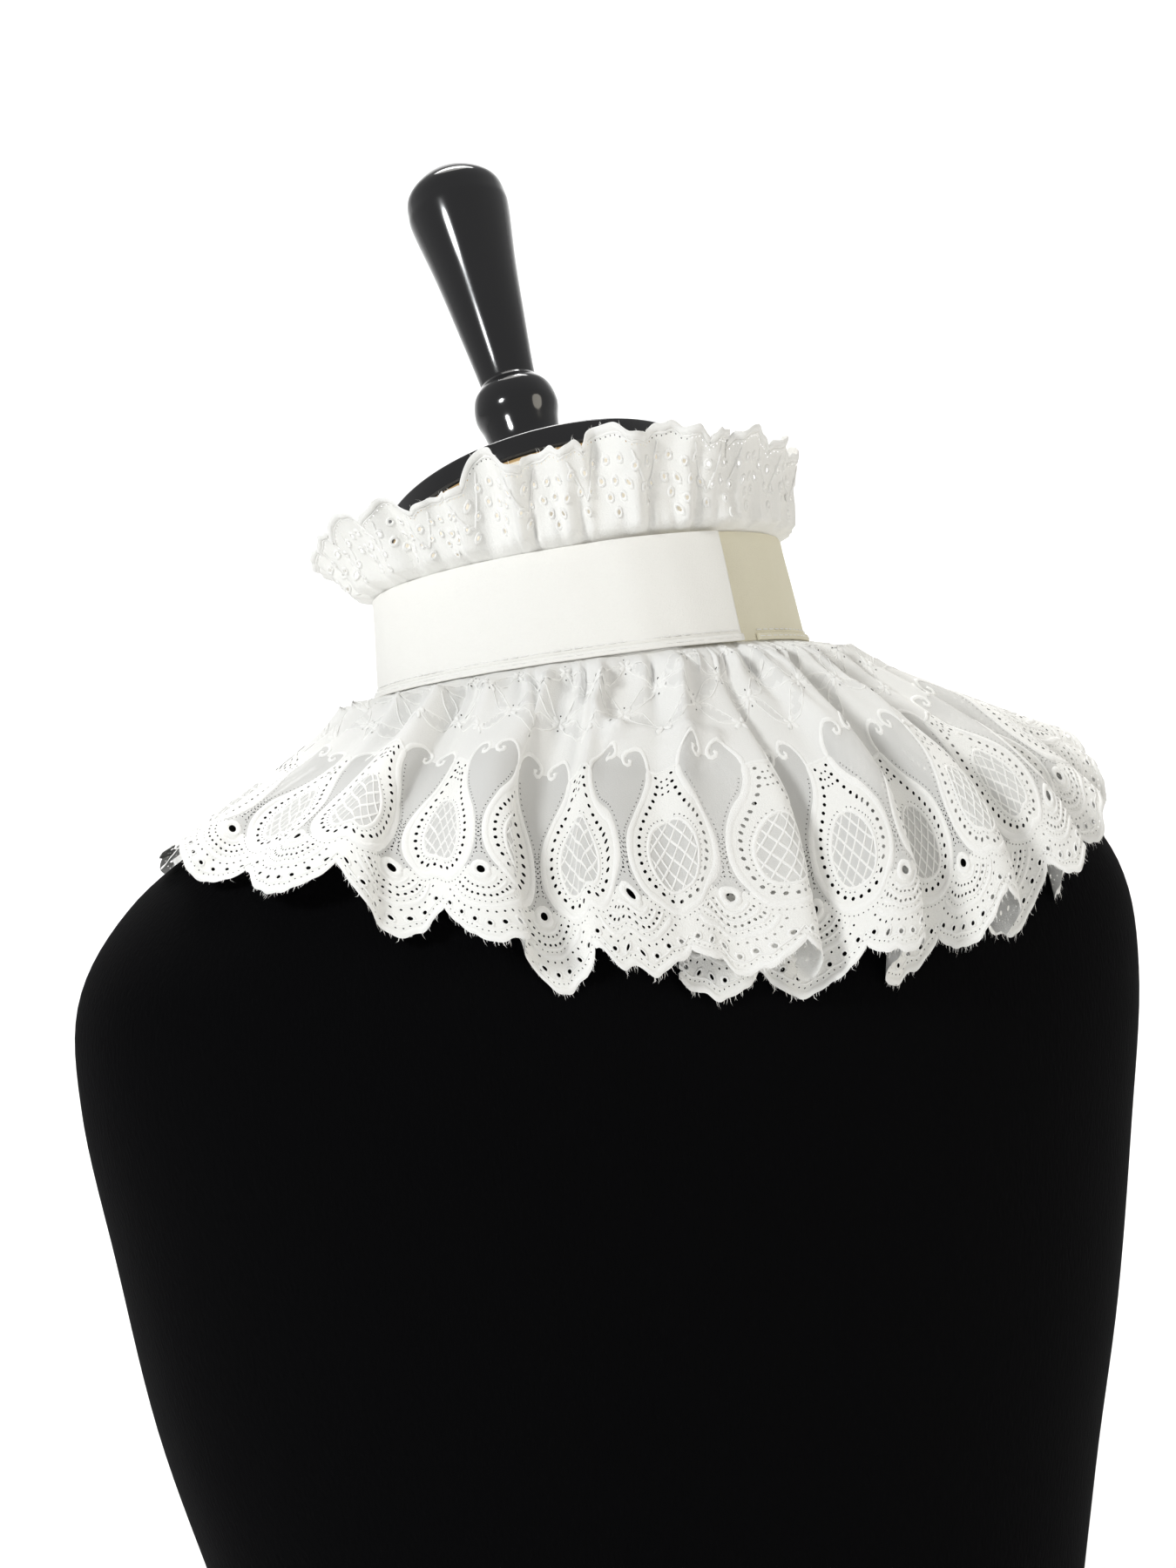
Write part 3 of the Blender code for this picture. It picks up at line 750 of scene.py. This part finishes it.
def flounce_ground(points):
    """The kind of cloth at each place of the flounce: 0 stitched over, 1 bare, 2 in a window, 3 in a leaf."""
    x = (points[:, 0] + PITCH / 2) % PITCH - PITCH / 2
    local = np.stack([x, points[:, 1]], axis=1)
    in_pear, in_egg = in_shape(local, pear_outline()), in_shape(local, egg_outline())
    stitched = in_pear | (points[:, 1] > 82.0 + 3.0 * np.abs(x) / (PITCH / 2))
    from_middle = PITCH / 2 - np.abs(x)
    depths, tops = np.array(HEART_TOP).T
    window = ~stitched & (points[:, 1] > np.interp(from_middle, depths, tops)) & (from_middle < depths[-1])
    leaf = np.zeros(len(points), bool)
    for (ax, ay), (bx, by) in zip(FLOWERS, FLOWERS[1:]):
        bow = np.array([(ax + bx) / 2, (ay + by) / 2])
        for middle in (bow, bow * (-1, 1)):
            along = unit(np.array([bx - ax, by - ay]) * (1 if middle[0] > 0 else -1, 1))
            offset = local - middle
            along_it, across_it = offset @ along, offset @ np.array([-along[1], along[0]])
            leaf |= (along_it / 4.6) ** 2 + (across_it / 1.5) ** 2 < 1
    return np.where(in_egg | window, 2, np.where(stitched, 0, np.where(leaf, 3, 1)))


def petals(centre):
    """Four leaf-shaped stitches round a point, as (path, width, height)."""
    strokes = []
    for turn in (35, 145, 215, 325):
        way = np.array([math.cos(math.radians(turn)), math.sin(math.radians(turn))])
        strokes.append((np.array(centre) + np.outer([0.2, 1.2, 2.2, 3.0], way), 1.7, 0.34))
    return strokes


def lattice(step):
    """Crossing slanted threads that fill the egg."""
    outline = egg_outline()
    lines = []
    for slope in (1.0, -1.0):
        for shift in np.arange(-24.0, 24.0, step):
            t = np.linspace(-16, 16, 161)
            line = np.stack([t * 0.62 + shift * 0.78, 70.0 + slope * t], axis=1)
            inside = line[in_shape(line, outline)]
            if len(inside) > 8:
                lines.append((resample([inside[0], inside[-1]], 2.0), 0.6, 0.24))
    return lines


def flounce_cords():
    """Raised stitching of one repeat, as (path, width, height)."""
    pear = resample(pear_outline(), 1.5)
    egg = resample(closed(egg_outline()), 1.5)
    cords = [(pear, 1.8, 0.24), (egg, 1.0, 0.24)]
    cords.append((resample([(-4.4, 45.5), (4.4, 45.5)], 1.5), 1.2, 0.35))
    for side in mirrored(resample(curve(SCROLL), 1.0)):
        cords.append((side, 1.35, 0.26))
    cords += lattice(4.3)
    cords.append((closed(circle(EYELET_AT, EYELET_RADIUS + 1.0, 14)), 1.8, 0.45))
    for radius, width in ((4.3, 1.0), (6.8, 0.9), (8.9, 0.8), (11.1, 1.4)):
        cords.append((circle(EYELET_AT, radius, 14, 24, 156), width, 0.26))
    for x, y in FLOWERS:
        cords += petals((x, y))
    for (ax, ay), (bx, by) in zip(FLOWERS, FLOWERS[1:]):
        for end_x in (bx, bx - 2 * (bx - ax)):
            bow = ((ax + end_x) / 2, (ay + by) / 2)
            for lift in (2.6, -2.6):
                path = curve([(ax, ay), (bow[0], bow[1] + lift), (end_x, by)], 4)
                cords.append((path, 0.5, 0.18))
    cords.append((hem_path(1.1), 1.7, 0.32))
    cords.append((hem_path(3.9), 0.6, 0.25))
    for x, y in EDGE_DOTS:
        for place in {x, PITCH - x}:
            cords.append((closed(circle((place, y), 1.05, 8)), 0.7, 0.28))
    return cords


# Flat drawings: the frill's repeat, with y up from the band

FRILL_DOTS = (
    (14.25, 12, 0.72),
    (11.4, 16.4, 0.68),
    (17.1, 16.4, 0.68),
    (8.8, 21, 0.68),
    (14.25, 20.8, 0.68),
    (19.7, 21, 0.68),
    (6, 26.2, 0.62),
    (11.5, 26.8, 0.62),
    (17, 26.8, 0.62),
    (22.5, 26.2, 0.62),
    (0, 24.6, 0.72),
    (2.6, 19, 0.55),
    (25.9, 19, 0.55),
    (0, 13.5, 0.6),
)


def frill_edge(x):
    """Height of the frill's edge at each x: one broad lobe to a repeat, with three small steps."""
    share = np.abs((x / PITCH) % 1.0 - 0.5) * 2
    steps = 0.3 * np.abs(np.sin(math.pi * 3 * (x / PITCH)))
    return FRILL_HEIGHT * 1000 - 0.5 - FRILL_SCALLOP * share**2.4 + steps


def frill_edge_path(offset):
    x = np.linspace(0, PITCH, 28)
    return np.stack([x, frill_edge(x) - offset], axis=1)


def frill_holes():
    """Eyelets of one repeat of the frill: (x, y, radius)."""
    holes = [tuple(dot) for dot in FRILL_DOTS]
    holes += [(x, y, 0.28) for x, y in resample(frill_edge_path(3.6), 1.9)[:-1]]
    return np.array(holes)


def frill_cords():
    """Raised stitching of one repeat of the frill."""
    cords = [(frill_edge_path(1.2), 2.4, 0.6), (frill_edge_path(2.9), 0.7, 0.3)]
    for x, y, radius in FRILL_DOTS:
        cords.append((closed(circle((x, y), radius + 0.55, 10)), 1.1, 0.5))
    for side in mirrored(curve([(0.0, 16.5), (3.4, 22.2), (7.0, 31.0)], 6)):
        cords.append((side, 0.9, 0.35))
    return cords


# Flat meshes of a repeat


def ring_sides(radius):
    return 4 if radius < 0.3 else 6 if radius < 0.6 else 9 if radius < 1 else 14


def cloth_tile(holes, edge, rng):
    """Triangles of one repeat with its eyelets cut out: (points, faces), whose borders meet the next repeat's."""
    deepest = edge(np.linspace(0, PITCH, 200)).max()
    columns, rows = int(round(PITCH / GRID)), int(round(deepest / GRID))
    x, y = np.meshgrid(np.arange(columns) * PITCH / columns, np.arange(rows) * deepest / rows)
    points = np.stack([x.ravel(), y.ravel()], axis=1)
    points[columns:] += rng.uniform(-0.12, 0.12, (len(points) - columns, 2))
    centres = np.concatenate([holes[:, :2] + (k * PITCH, 0) for k in (-1, 0, 1)])
    radii = np.tile(holes[:, 2], 3)
    away = np.linalg.norm(points[:, None] - centres[None], axis=2) - radii[None]
    points = points[(away.min(axis=1) > 0.35) & (points[:, 1] < edge(points[:, 0]) - 0.8)]
    border_x = np.linspace(0, PITCH, 36)[:-1]
    border = np.stack([border_x, edge(border_x)], axis=1)
    verts, links = [], []
    for k in (-1, 0, 1):
        shift = np.array([k * PITCH, 0])
        verts += [Vector(p) for p in points + shift]
        first = len(verts)
        verts += [Vector(p) for p in border + shift]
        links += [(first + i, first + i + 1) for i in range(len(border) - 1)]
        for hx, hy, radius in holes:
            ring = circle((hx, hy), radius, ring_sides(radius), 11.0, 371.0) + shift
            first = len(verts)
            verts += [Vector(p) for p in ring]
            links += [(first + i, first + (i + 1) % len(ring)) for i in range(len(ring))]
    made = delaunay_2d_cdt(verts, links, [], 0, 1e-4)
    flat = np.array([tuple(v) for v in made[0]])
    faces = np.array([f for f in made[2] if len(f) == 3])
    middle = flat[faces].mean(axis=1)
    open_to = np.linalg.norm(middle[:, None] - centres[None], axis=2) < radii[None] * 0.96
    wanted = ~open_to.any(axis=1) & (middle[:, 1] < edge(middle[:, 0]) + 0.02)
    wanted &= (middle[:, 0] >= 0) & (middle[:, 0] < PITCH)
    return flat, faces[wanted]


def repeat_tile(flat, faces, first, count):
    """A run of repeats welded into one flat mesh."""
    used, index = np.unique(faces, return_inverse=True)
    tile, corners = flat[used], index.reshape(faces.shape)
    points = np.concatenate([tile + ((first + k) * PITCH, 0) for k in range(count)])
    corners = np.concatenate([corners + k * len(tile) for k in range(count)])
    _, keep, merged = np.unique(np.round(points, 3), axis=0, return_index=True, return_inverse=True)
    return points[keep], merged.reshape(-1)[corners]


def ridge_quads(first, count):
    """Quads between rows of four points, from the point numbered first on."""
    starts = [first + row * 4 + k for row in range(count - 1) for k in range(3)]
    return [(a, a + 4, a + 5, a + 1) for a in starts]


def cord_tile(cords):
    """Cords as rounded ridges: (points with height, quads)."""
    points, quads = [], []
    for path, width, height in cords:
        path = np.asarray(path, float)
        tangent = unit(np.gradient(path, axis=0))
        side = np.stack([-tangent[:, 1], tangent[:, 0]], axis=1)
        first = sum(len(p) for p in points)
        taper = np.ones(len(path))
        taper[[0, -1]] = 0.6
        lines = []
        for across, rise in ((-0.5, 0.0), (-0.28, 0.8), (0.28, 0.8), (0.5, 0.0)):
            flat = path + side * (across * width * taper)[:, None]
            above = rise * height * taper + CORD_CLEAR * (rise > 0)
            lines.append(np.concatenate([flat, above[:, None]], axis=1))
        points.append(np.stack(lines, axis=1).reshape(-1, 3))
        quads += ridge_quads(first, len(path))
    return np.concatenate(points), np.array(quads)


def repeat_cords(points, quads, first, count):
    """A run of repeats of the cords."""
    shift = np.array([PITCH, 0, 0])
    many = np.concatenate([points + (first + k) * shift for k in range(count)])
    return many, np.concatenate([quads + k * len(points) for k in range(count)])


def loose_threads(edge, first, count, per_repeat, rng):
    """Short cut threads at the edge: (points with height, triangles)."""
    total = count * per_repeat
    x = (first + rng.uniform(0, count, total)) * PITCH
    length = rng.uniform(0.5, 2.2, total) * (0.6 + 0.6 * rng.random(total))
    slant = rng.normal(0, 0.5, total)
    half = 0.07
    y = edge(x)
    rise = rng.uniform(0, 0.5, total)
    base_left = np.stack([x - half, y - 0.4, rise * 0.4], axis=1)
    base_right = np.stack([x + half, y - 0.4, rise * 0.4], axis=1)
    middle_left = np.stack([x - half * 0.8 + slant * length * 0.3, y + length * 0.5, rise], axis=1)
    middle_right = np.stack([x + half * 0.8 + slant * length * 0.3, y + length * 0.5, rise], axis=1)
    tip = np.stack([x + slant * length, y + length, rise * rng.uniform(-1.5, 2, total)], axis=1)
    points = np.stack([base_left, base_right, middle_left, middle_right, tip], axis=1).reshape(-1, 3)
    corners = np.array([(0, 1, 3), (0, 3, 2), (2, 3, 4)])
    faces = (np.arange(total)[:, None, None] * 5 + corners[None]).reshape(-1, 3)
    return points, faces


# Materials

COTTON_WHITE = (0.90, 0.89, 0.85)
# A plain beige for the band's cloth from its inner end round to the right of the closing
COTTON_BEIGE = (0.80, 0.76, 0.60)


def principled(name, colour, roughness, **settings):
    """A Principled material with constant values; keys are socket names with _ for a space."""
    made = bpy.data.materials.new(name)
    made.use_nodes = True
    shader = made.node_tree.nodes["Principled BSDF"]
    shader.inputs["Base Color"].default_value = (*colour, 1.0)
    shader.inputs["Roughness"].default_value = roughness
    for key, value in settings.items():
        shader.inputs[key.replace("_", " ")].default_value = value
    return made


def add_bump(made, scale, distance, detail=2.0, stretch=(1, 1, 1)):
    """Fine relief from noise in the object's own coordinates."""
    nodes, links = made.node_tree.nodes, made.node_tree.links
    where = nodes.new("ShaderNodeTexCoord")
    mapping = nodes.new("ShaderNodeMapping")
    mapping.inputs["Scale"].default_value = stretch
    noise = nodes.new("ShaderNodeTexNoise")
    noise.inputs["Scale"].default_value = scale
    noise.inputs["Detail"].default_value = detail
    bump = nodes.new("ShaderNodeBump")
    bump.inputs["Distance"].default_value = distance
    bump.inputs["Strength"].default_value = 0.6
    links.new(where.outputs["Object"], mapping.inputs["Vector"])
    links.new(mapping.outputs["Vector"], noise.inputs["Vector"])
    links.new(noise.outputs["Fac"], bump.inputs["Height"])
    links.new(bump.outputs["Normal"], nodes["Principled BSDF"].inputs["Normal"])
    return made


def sheer_lace(name, alpha):
    return add_bump(principled(name, (0.90, 0.895, 0.87), 0.85, Alpha=alpha), 2600, 0.0002)


def lace_ground():
    return sheer_lace("lace_ground", 0.94)


def lace_window():
    return sheer_lace("lace_window", 0.72)


def lace_leaf():
    return sheer_lace("lace_leaf", 0.87)


def lace_dense():
    return add_bump(principled("lace_dense", (0.90, 0.895, 0.865), 0.8), 2200, 0.0003)


def lace_thread():
    return add_bump(principled("lace_thread", (0.93, 0.925, 0.90), 0.6, Specular_IOR_Level=0.35), 3000, 0.0003)


def band_cotton():
    return add_bump(principled("band_cotton", COTTON_WHITE, 0.85), 2400, 0.0002)


def band_beige(share):
    """Cotton mixed from white towards beige by this share."""
    colour = np.array(COTTON_WHITE) * (1 - share) + np.array(COTTON_BEIGE) * share
    return add_bump(principled(f"band_beige_{int(100 * share)}", tuple(colour), 0.85), 2400, 0.0002)


def neck_jersey():
    return add_bump(principled("neck_jersey", (0.86, 0.79, 0.66), 0.85), 1500, 0.0004)


def neck_edge():
    return principled("neck_edge", (0.55, 0.36, 0.16), 0.7)


def form_cover():
    cover = principled("form_cover", (0.0016, 0.0016, 0.0019), 0.97, Specular_IOR_Level=0.05)
    return add_bump(cover, 900, 0.0006, 3.0, (1, 1, 0.35))


def black_lacquer():
    return principled("black_lacquer", (0.004, 0.004, 0.005), 0.13, Coat_Weight=0.5, Coat_Roughness=0.05)


# Objects

FORM_SIDES = 144
TORSO_RINGS = 84
NECK_RINGS = 40
CAP_SIDES = 120
FINIAL_SIDES = 80
FINIAL_RINGS = 140


def add_mesh(name, points, faces, materials, indices=None):
    """A mesh object from arrays of points and faces."""
    mesh = bpy.data.meshes.new(name)
    mesh.from_pydata(np.asarray(points).tolist(), [], [list(map(int, face)) for face in faces])
    for made in materials:
        mesh.materials.append(made)
    if indices is not None:
        mesh.polygons.foreach_set("material_index", np.asarray(indices, np.int32))
    mesh.shade_smooth()
    mesh.update()
    obj = bpy.data.objects.new(name, mesh)
    bpy.context.scene.collection.objects.link(obj)
    return obj


def grid_faces(rows, columns, wrap_columns):
    """Quads of a grid whose points are stored row by row."""
    faces = []
    for r in range(rows - 1):
        for c in range(columns if wrap_columns else columns - 1):
            d = (c + 1) % columns
            faces.append((r * columns + c, r * columns + d, (r + 1) * columns + d, (r + 1) * columns + c))
    return faces


def add_loft(name, rings, materials, indices=None):
    """A solid through closed rings, with its two ends filled."""
    rings = np.asarray(rings)
    count, around = rings.shape[:2]
    ends = [list(range(around))[::-1], [(count - 1) * around + i for i in range(around)]]
    if indices is not None:
        indices = np.append(np.repeat(indices, around), [0, 0])
    obj = add_mesh(name, rings.reshape(-1, 3), grid_faces(count, around, True) + ends, materials, indices)
    for polygon in list(obj.data.polygons)[-2:]:
        polygon.use_smooth = False
    return obj


def stands_for(piece, node):
    """Hides the solid that a piece stands in for, and returns the piece."""
    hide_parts(node)
    return piece


def rings_of(table, count):
    """Closed rings at even places of a table of sections."""
    angles = np.arange(FORM_SIDES) * 360 / FORM_SIDES
    return [section_points(smooth(table, place), angles) for place in np.linspace(0, len(table) - 1, count)]


def make_torso():
    return stands_for(add_loft("torso", rings_of(TORSO, TORSO_RINGS), [form_cover()]), "form_torso")


def make_neck():
    """The neck, whose top ring is the cut edge of its jersey."""
    indices = [0] * (NECK_RINGS - 2) + [1]
    neck = add_loft("neck", rings_of(NECK, NECK_RINGS), [neck_jersey(), neck_edge()], indices)
    return stands_for(neck, "form_neck")


def make_form():
    """The dress form, with finer sections than its solids."""
    torso, neck, lacquer = make_torso(), make_neck(), black_lacquer()
    cap = turned("cap", cap_profile(), CAP_SIDES, lacquer, GAP)
    profile = smooth(FINIAL[1:], np.linspace(0, len(FINIAL) - 2, FINIAL_RINGS))
    profile = np.concatenate([[(0.0, 0.0)], profile])
    finial = turned("finial", profile, FINIAL_SIDES, lacquer, 2 * GAP + CAP_RIM + CAP_DOME)
    stands_for(cap, "form_cap")
    stands_for(finial, "form_finial")
    return [torso, neck, cap, finial]


def cap_profile():
    """The cap's profile as (height, radius), with rounded edges."""
    rounding = 0.0014
    points = [(0.0, 0.0), (0.0, CAP_RADIUS * 0.6)]
    for turn in np.radians(np.linspace(0, 90, 6)):
        points.append((rounding - rounding * math.cos(turn), CAP_RADIUS - rounding + rounding * math.sin(turn)))
    for turn in np.radians(np.linspace(0, 90, 6)):
        height = CAP_RIM - rounding + rounding * math.sin(turn)
        points.append((height, CAP_RADIUS - rounding + rounding * math.cos(turn)))
    for share in np.linspace(0.08, 1, 12):
        height = CAP_RIM + CAP_DOME * math.sin(share * math.pi / 2)
        points.append((height, (CAP_RADIUS - rounding) * (1 - share)))
    return np.array(points)


def turned(name, profile, sides, finish, height):
    """A turned solid on the cap's axis, this far above the neck's top."""
    _, centre_y, _, _, _, tilt, _ = NECK[-1]
    turn = np.arange(sides) * 2 * math.pi / sides
    heights, radii = profile[:, 0][:, None], np.maximum(profile[:, 1], 0.00002)[:, None]
    local = np.stack([radii * np.cos(turn), radii * np.sin(turn), heights + 0 * turn], axis=-1)
    lean = Matrix.Rotation(-math.radians(tilt), 3, "X")
    seat = np.array([0.0, centre_y, NECK[-1][0]]) + up_axis(tilt) * height
    return add_loft(name, local @ np.array(lean).T + seat, [finish])


def band_point(turn, height, offset):
    """Points of the band: turn in degrees along the strip from its inner end, height and offset in metres."""
    rise = np.clip((turn - 360 + LAP_RISE_DEG) / (LAP_RISE_DEG - 6), 0, 1)
    out = (BAND_WALL + 2 * GAP) * ease(rise) + offset
    degrees = CLOSING_DEG - BAND_OVERLAP_DEG + turn
    return section_points(smooth(BAND, height / BAND_HEIGHT), degrees, out)


def strip_of_band(name, turns, low, high, inner, outer, soft, finishes):
    """A strip with rounded edges that follows the band, as one closed solid."""
    radius = (outer - inner) / 2
    middle = (outer + inner) / 2
    ring = []
    for height in np.linspace(low + radius, high - radius, 9):
        ring.append((height, outer, 1.0))
    for turn in np.radians([45, 90, 135]):
        ring.append((high - radius + radius * math.sin(turn), middle + radius * math.cos(turn), 0.5))
    for height in np.linspace(high - radius, low + radius, 5):
        ring.append((height, inner, 0.0))
    for turn in np.radians([225, 270, 315]):
        ring.append((low + radius + radius * math.sin(turn), middle + radius * math.cos(turn), 0.5))
    ring = np.array(ring)
    rings = []
    for turn in turns:
        height = ring[:, 0]
        wave = np.sin(turn * 0.21 + height * 160) * np.sin(turn * 0.063 + 1.3 + height * 90)
        wave = wave + 0.6 * np.sin(turn * 0.47 + height * 60)
        offset = ring[:, 1] + ring[:, 2] * soft * wave
        rings.append(band_point(np.full_like(height, turn), height, offset))
    # Beige near the strip's inner end, paler in steps further round, and white beyond
    beige_steps = np.searchsorted(BEIGE_TO_DEG, turns[:-1])
    return add_loft(name, rings, finishes, beige_steps)


def make_band():
    """The band, its tape and its stitches."""
    cotton = [band_beige(share) for share in (1.0, 0.66, 0.33)] + [band_cotton()]
    end = 360 + BAND_OVERLAP_DEG
    turns = np.concatenate([[0.0, 0.35], np.linspace(1, end - 1, 330), [end - 0.35, end]])
    band = strip_of_band("band_cloth", turns, 0, BAND_HEIGHT, 0.0, BAND_WALL, 0.00014, cotton)
    stands_for(band, "band")
    tape_turns = np.linspace(TAPE_FROM_DEG, end, 300)
    clear = BAND_WALL + GAP * 0.4
    tape = strip_of_band("tape_cloth", tape_turns, 0, TAPE_WIDTH, clear, clear + TAPE_WALL, 0.00008, cotton)
    stands_for(tape, "band_tape")
    stitches = make_stitches(end)
    return [band, tape, stitches]


def make_stitches(end):
    """Two rows of short stitches: one on the tape and one on the band just above it."""
    long_deg, gap_deg = 2.0, 0.75
    points, faces = [], []
    rows = ((TAPE_WIDTH * 0.62, BAND_WALL + GAP * 0.4 + TAPE_WALL), (TAPE_WIDTH + 0.0013, BAND_WALL + 0.00012))
    for height, offset in rows:
        for start in np.arange(TAPE_FROM_DEG + 0.5, end - long_deg, long_deg + gap_deg):
            first = len(points) * 12
            turn = start + np.array([0, 0.5, 1]) * long_deg
            ring = np.array([(-0.00022, 0.0), (-0.00013, 0.00022), (0.00013, 0.00022), (0.00022, 0.0)])
            sunk = np.array([-0.00015, 0.0, -0.00015])
            along = np.repeat(turn, 4)
            rise = np.tile(ring[:, 0], 3) + height
            out = offset + np.tile(ring[:, 1], 3) + np.repeat(sunk, 4)
            points.append(band_point(along, rise, out))
            faces += ridge_quads(first, 3)
    return add_mesh("band_stitches", np.concatenate(points), faces, [lace_thread()])


def on_strip(points, faces, starts, ends, margin=0.0):
    """The faces whose middles lie between the strip's two ends, counted in repeats."""
    middle = points[faces].mean(axis=1)[:, 0] / PITCH
    return faces[(middle > starts + margin) & (middle < ends - margin)]


def make_lace(name, strip, side, tile, kinds, cords, edge, runs, threads, rng, finishes):
    """A gathered strip of lace in a few runs of repeats: its cloth, its raised stitching and its loose threads."""
    ground, window, leaf, dense, thread = finishes
    cord_points, cord_quads = cord_tile(cords)
    starts = strip.shift / strip.pitch
    ends = starts + strip.length_mm / strip.pitch
    bounds = np.linspace(0, math.ceil(ends), runs + 1).round().astype(int)
    deep = edge(np.linspace(0, PITCH, 100)).max() / 1000
    made = []

    def add_laid(part, points, faces, materials, kind=None):
        return add_mesh(f"{name}_{part}", lay(strip.surface, points, side), faces, materials, kind)

    for k, (first, last) in enumerate(zip(bounds, bounds[1:]), start=1):
        points, corners = repeat_tile(*tile, first, last - first)
        corners = on_strip(points, corners, starts, ends)
        kind = kinds(points[corners].mean(axis=1))
        level = np.concatenate([points, np.zeros((len(points), 1))], axis=1)
        cloth = add_laid(f"cloth_{k}", level, corners, [dense, ground, window, leaf], kind)
        stands_for(cloth, name)
        many, quads = repeat_cords(cord_points, cord_quads, first, last - first)
        stitched = add_laid(f"stitching_{k}", many, on_strip(many, quads, starts, ends, 0.01), [thread])
        tips, triangles = loose_threads(edge, first, last - first, threads, rng)
        loose = add_laid(f"threads_{k}", tips, on_strip(tips, triangles, starts, ends, 0.01), [thread])
        made += [cloth, stitched, loose]
    return made


def make_floor():
    """A plain pale floor that rises behind as a sweep."""
    profile = [(-3.0, 0.0), (0.6, 0.0), (1.6, 0.06), (2.5, 0.4), (3.2, 1.2), (3.5, 3.6)]
    places = smooth(profile, np.linspace(0, len(profile) - 1, 40))
    turn = math.radians(CAMERA_TURN_DEG)
    points = []
    for away, height in places:
        for side in (-4.0, 4.0):
            x = side * math.cos(turn) - away * math.sin(turn)
            y = side * math.sin(turn) + away * math.cos(turn)
            points.append((x, y, height - 0.0005 * (height < 0.01)))
    pale = principled("floor", (0.86, 0.86, 0.86), 0.9)
    add_mesh("floor", points, grid_faces(len(places), 2, False), [pale])


def area_light(name, place, target, size, energy, colour):
    """A soft square light at a place, turned to a target."""
    light = bpy.data.lights.new(name, "AREA")
    light.shape = "DISK"
    light.size = size
    light.energy = energy
    light.color = colour
    obj = bpy.data.objects.new(name, light)
    obj.location = place
    obj.rotation_euler = (Vector(target) - Vector(place)).to_track_quat("-Z", "Y").to_euler()
    bpy.context.scene.collection.objects.link(obj)


def make_lights():
    """Soft studio light, brightest and coolest from the photo's left."""
    bpy.context.scene.view_settings.view_transform = "Standard"
    world = bpy.data.worlds.new("studio")
    world.use_nodes = True
    world.node_tree.nodes["Background"].inputs["Color"].default_value = (1.0, 1.0, 1.0, 1.0)
    world.node_tree.nodes["Background"].inputs["Strength"].default_value = 0.40
    bpy.context.scene.world = world
    target = (0.0, 0.0, 0.38)
    area_light("key", (-1.5, -0.7, 1.15), target, 0.4, 17, (0.97, 0.99, 1.0))
    area_light("fill", (1.2, -1.5, 0.9), target, 1.0, 7.5, (1.0, 0.94, 0.82))
    area_light("top", (0.1, 0.5, 1.9), target, 0.9, 6, (1.0, 0.98, 0.94))
    area_light("backdrop", (0.4, 1.0, 2.5), (1.2, 2.7, 0.7), 1.6, 75, (1.0, 1.0, 1.0))


def camera_axes():
    """The camera's right, up and forward directions."""
    turn, rise, roll = (math.radians(a) for a in (CAMERA_TURN_DEG, CAMERA_RISE_DEG, CAMERA_ROLL_DEG))
    forward = np.array([-math.sin(turn) * math.cos(rise), math.cos(turn) * math.cos(rise), -math.sin(rise)])
    level = np.array([math.cos(turn), math.sin(turn), 0.0])
    up = np.cross(level, forward)
    right = level * math.cos(roll) - up * math.sin(roll)
    up = level * math.sin(roll) + up * math.cos(roll)
    return right, up, forward


def make_camera():
    """A camera that puts the middle of the seam where the photo has it."""
    right, up, forward = camera_axes()
    focal = CAMERA_LENS_MM / SENSOR_MM * max(PHOTO_SIZE)
    off_x = (SEAM_IN_PHOTO[0] - PHOTO_SIZE[0] / 2) / focal
    off_y = (SEAM_IN_PHOTO[1] - PHOTO_SIZE[1] / 2) / focal
    place = np.array(SEAM_CENTRE) - CAMERA_DISTANCE * (forward + off_x * right - off_y * up)
    data = bpy.data.cameras.new("camera")
    data.lens = CAMERA_LENS_MM
    data.sensor_width = SENSOR_MM
    data.clip_end = 20
    obj = bpy.data.objects.new("camera", data)
    turned_to = Matrix((right, up, -forward)).transposed().to_4x4()
    obj.matrix_world = Matrix.Translation(place) @ turned_to
    bpy.context.scene.collection.objects.link(obj)
    bpy.context.scene.camera = obj


def main():
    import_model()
    rng = np.random.default_rng(11)
    made = make_form() + make_band()
    finishes = (lace_ground(), lace_window(), lace_leaf(), lace_dense(), lace_thread())
    made += make_lace(
        "flounce", Flounce(), 1, cloth_tile(flounce_holes(), hem_depth, rng), flounce_ground,
        flounce_cords(), hem_depth, 3, 34, rng, finishes,
    )
    made += make_lace(
        "frill", Frill(), -1, cloth_tile(frill_holes(), frill_edge, rng),
        lambda places: np.zeros(len(places), int), frill_cords(), frill_edge, 1, 10, rng, finishes,
    )
    for piece in made:
        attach(piece, "root")
    make_floor()
    make_lights()
    make_camera()


main()
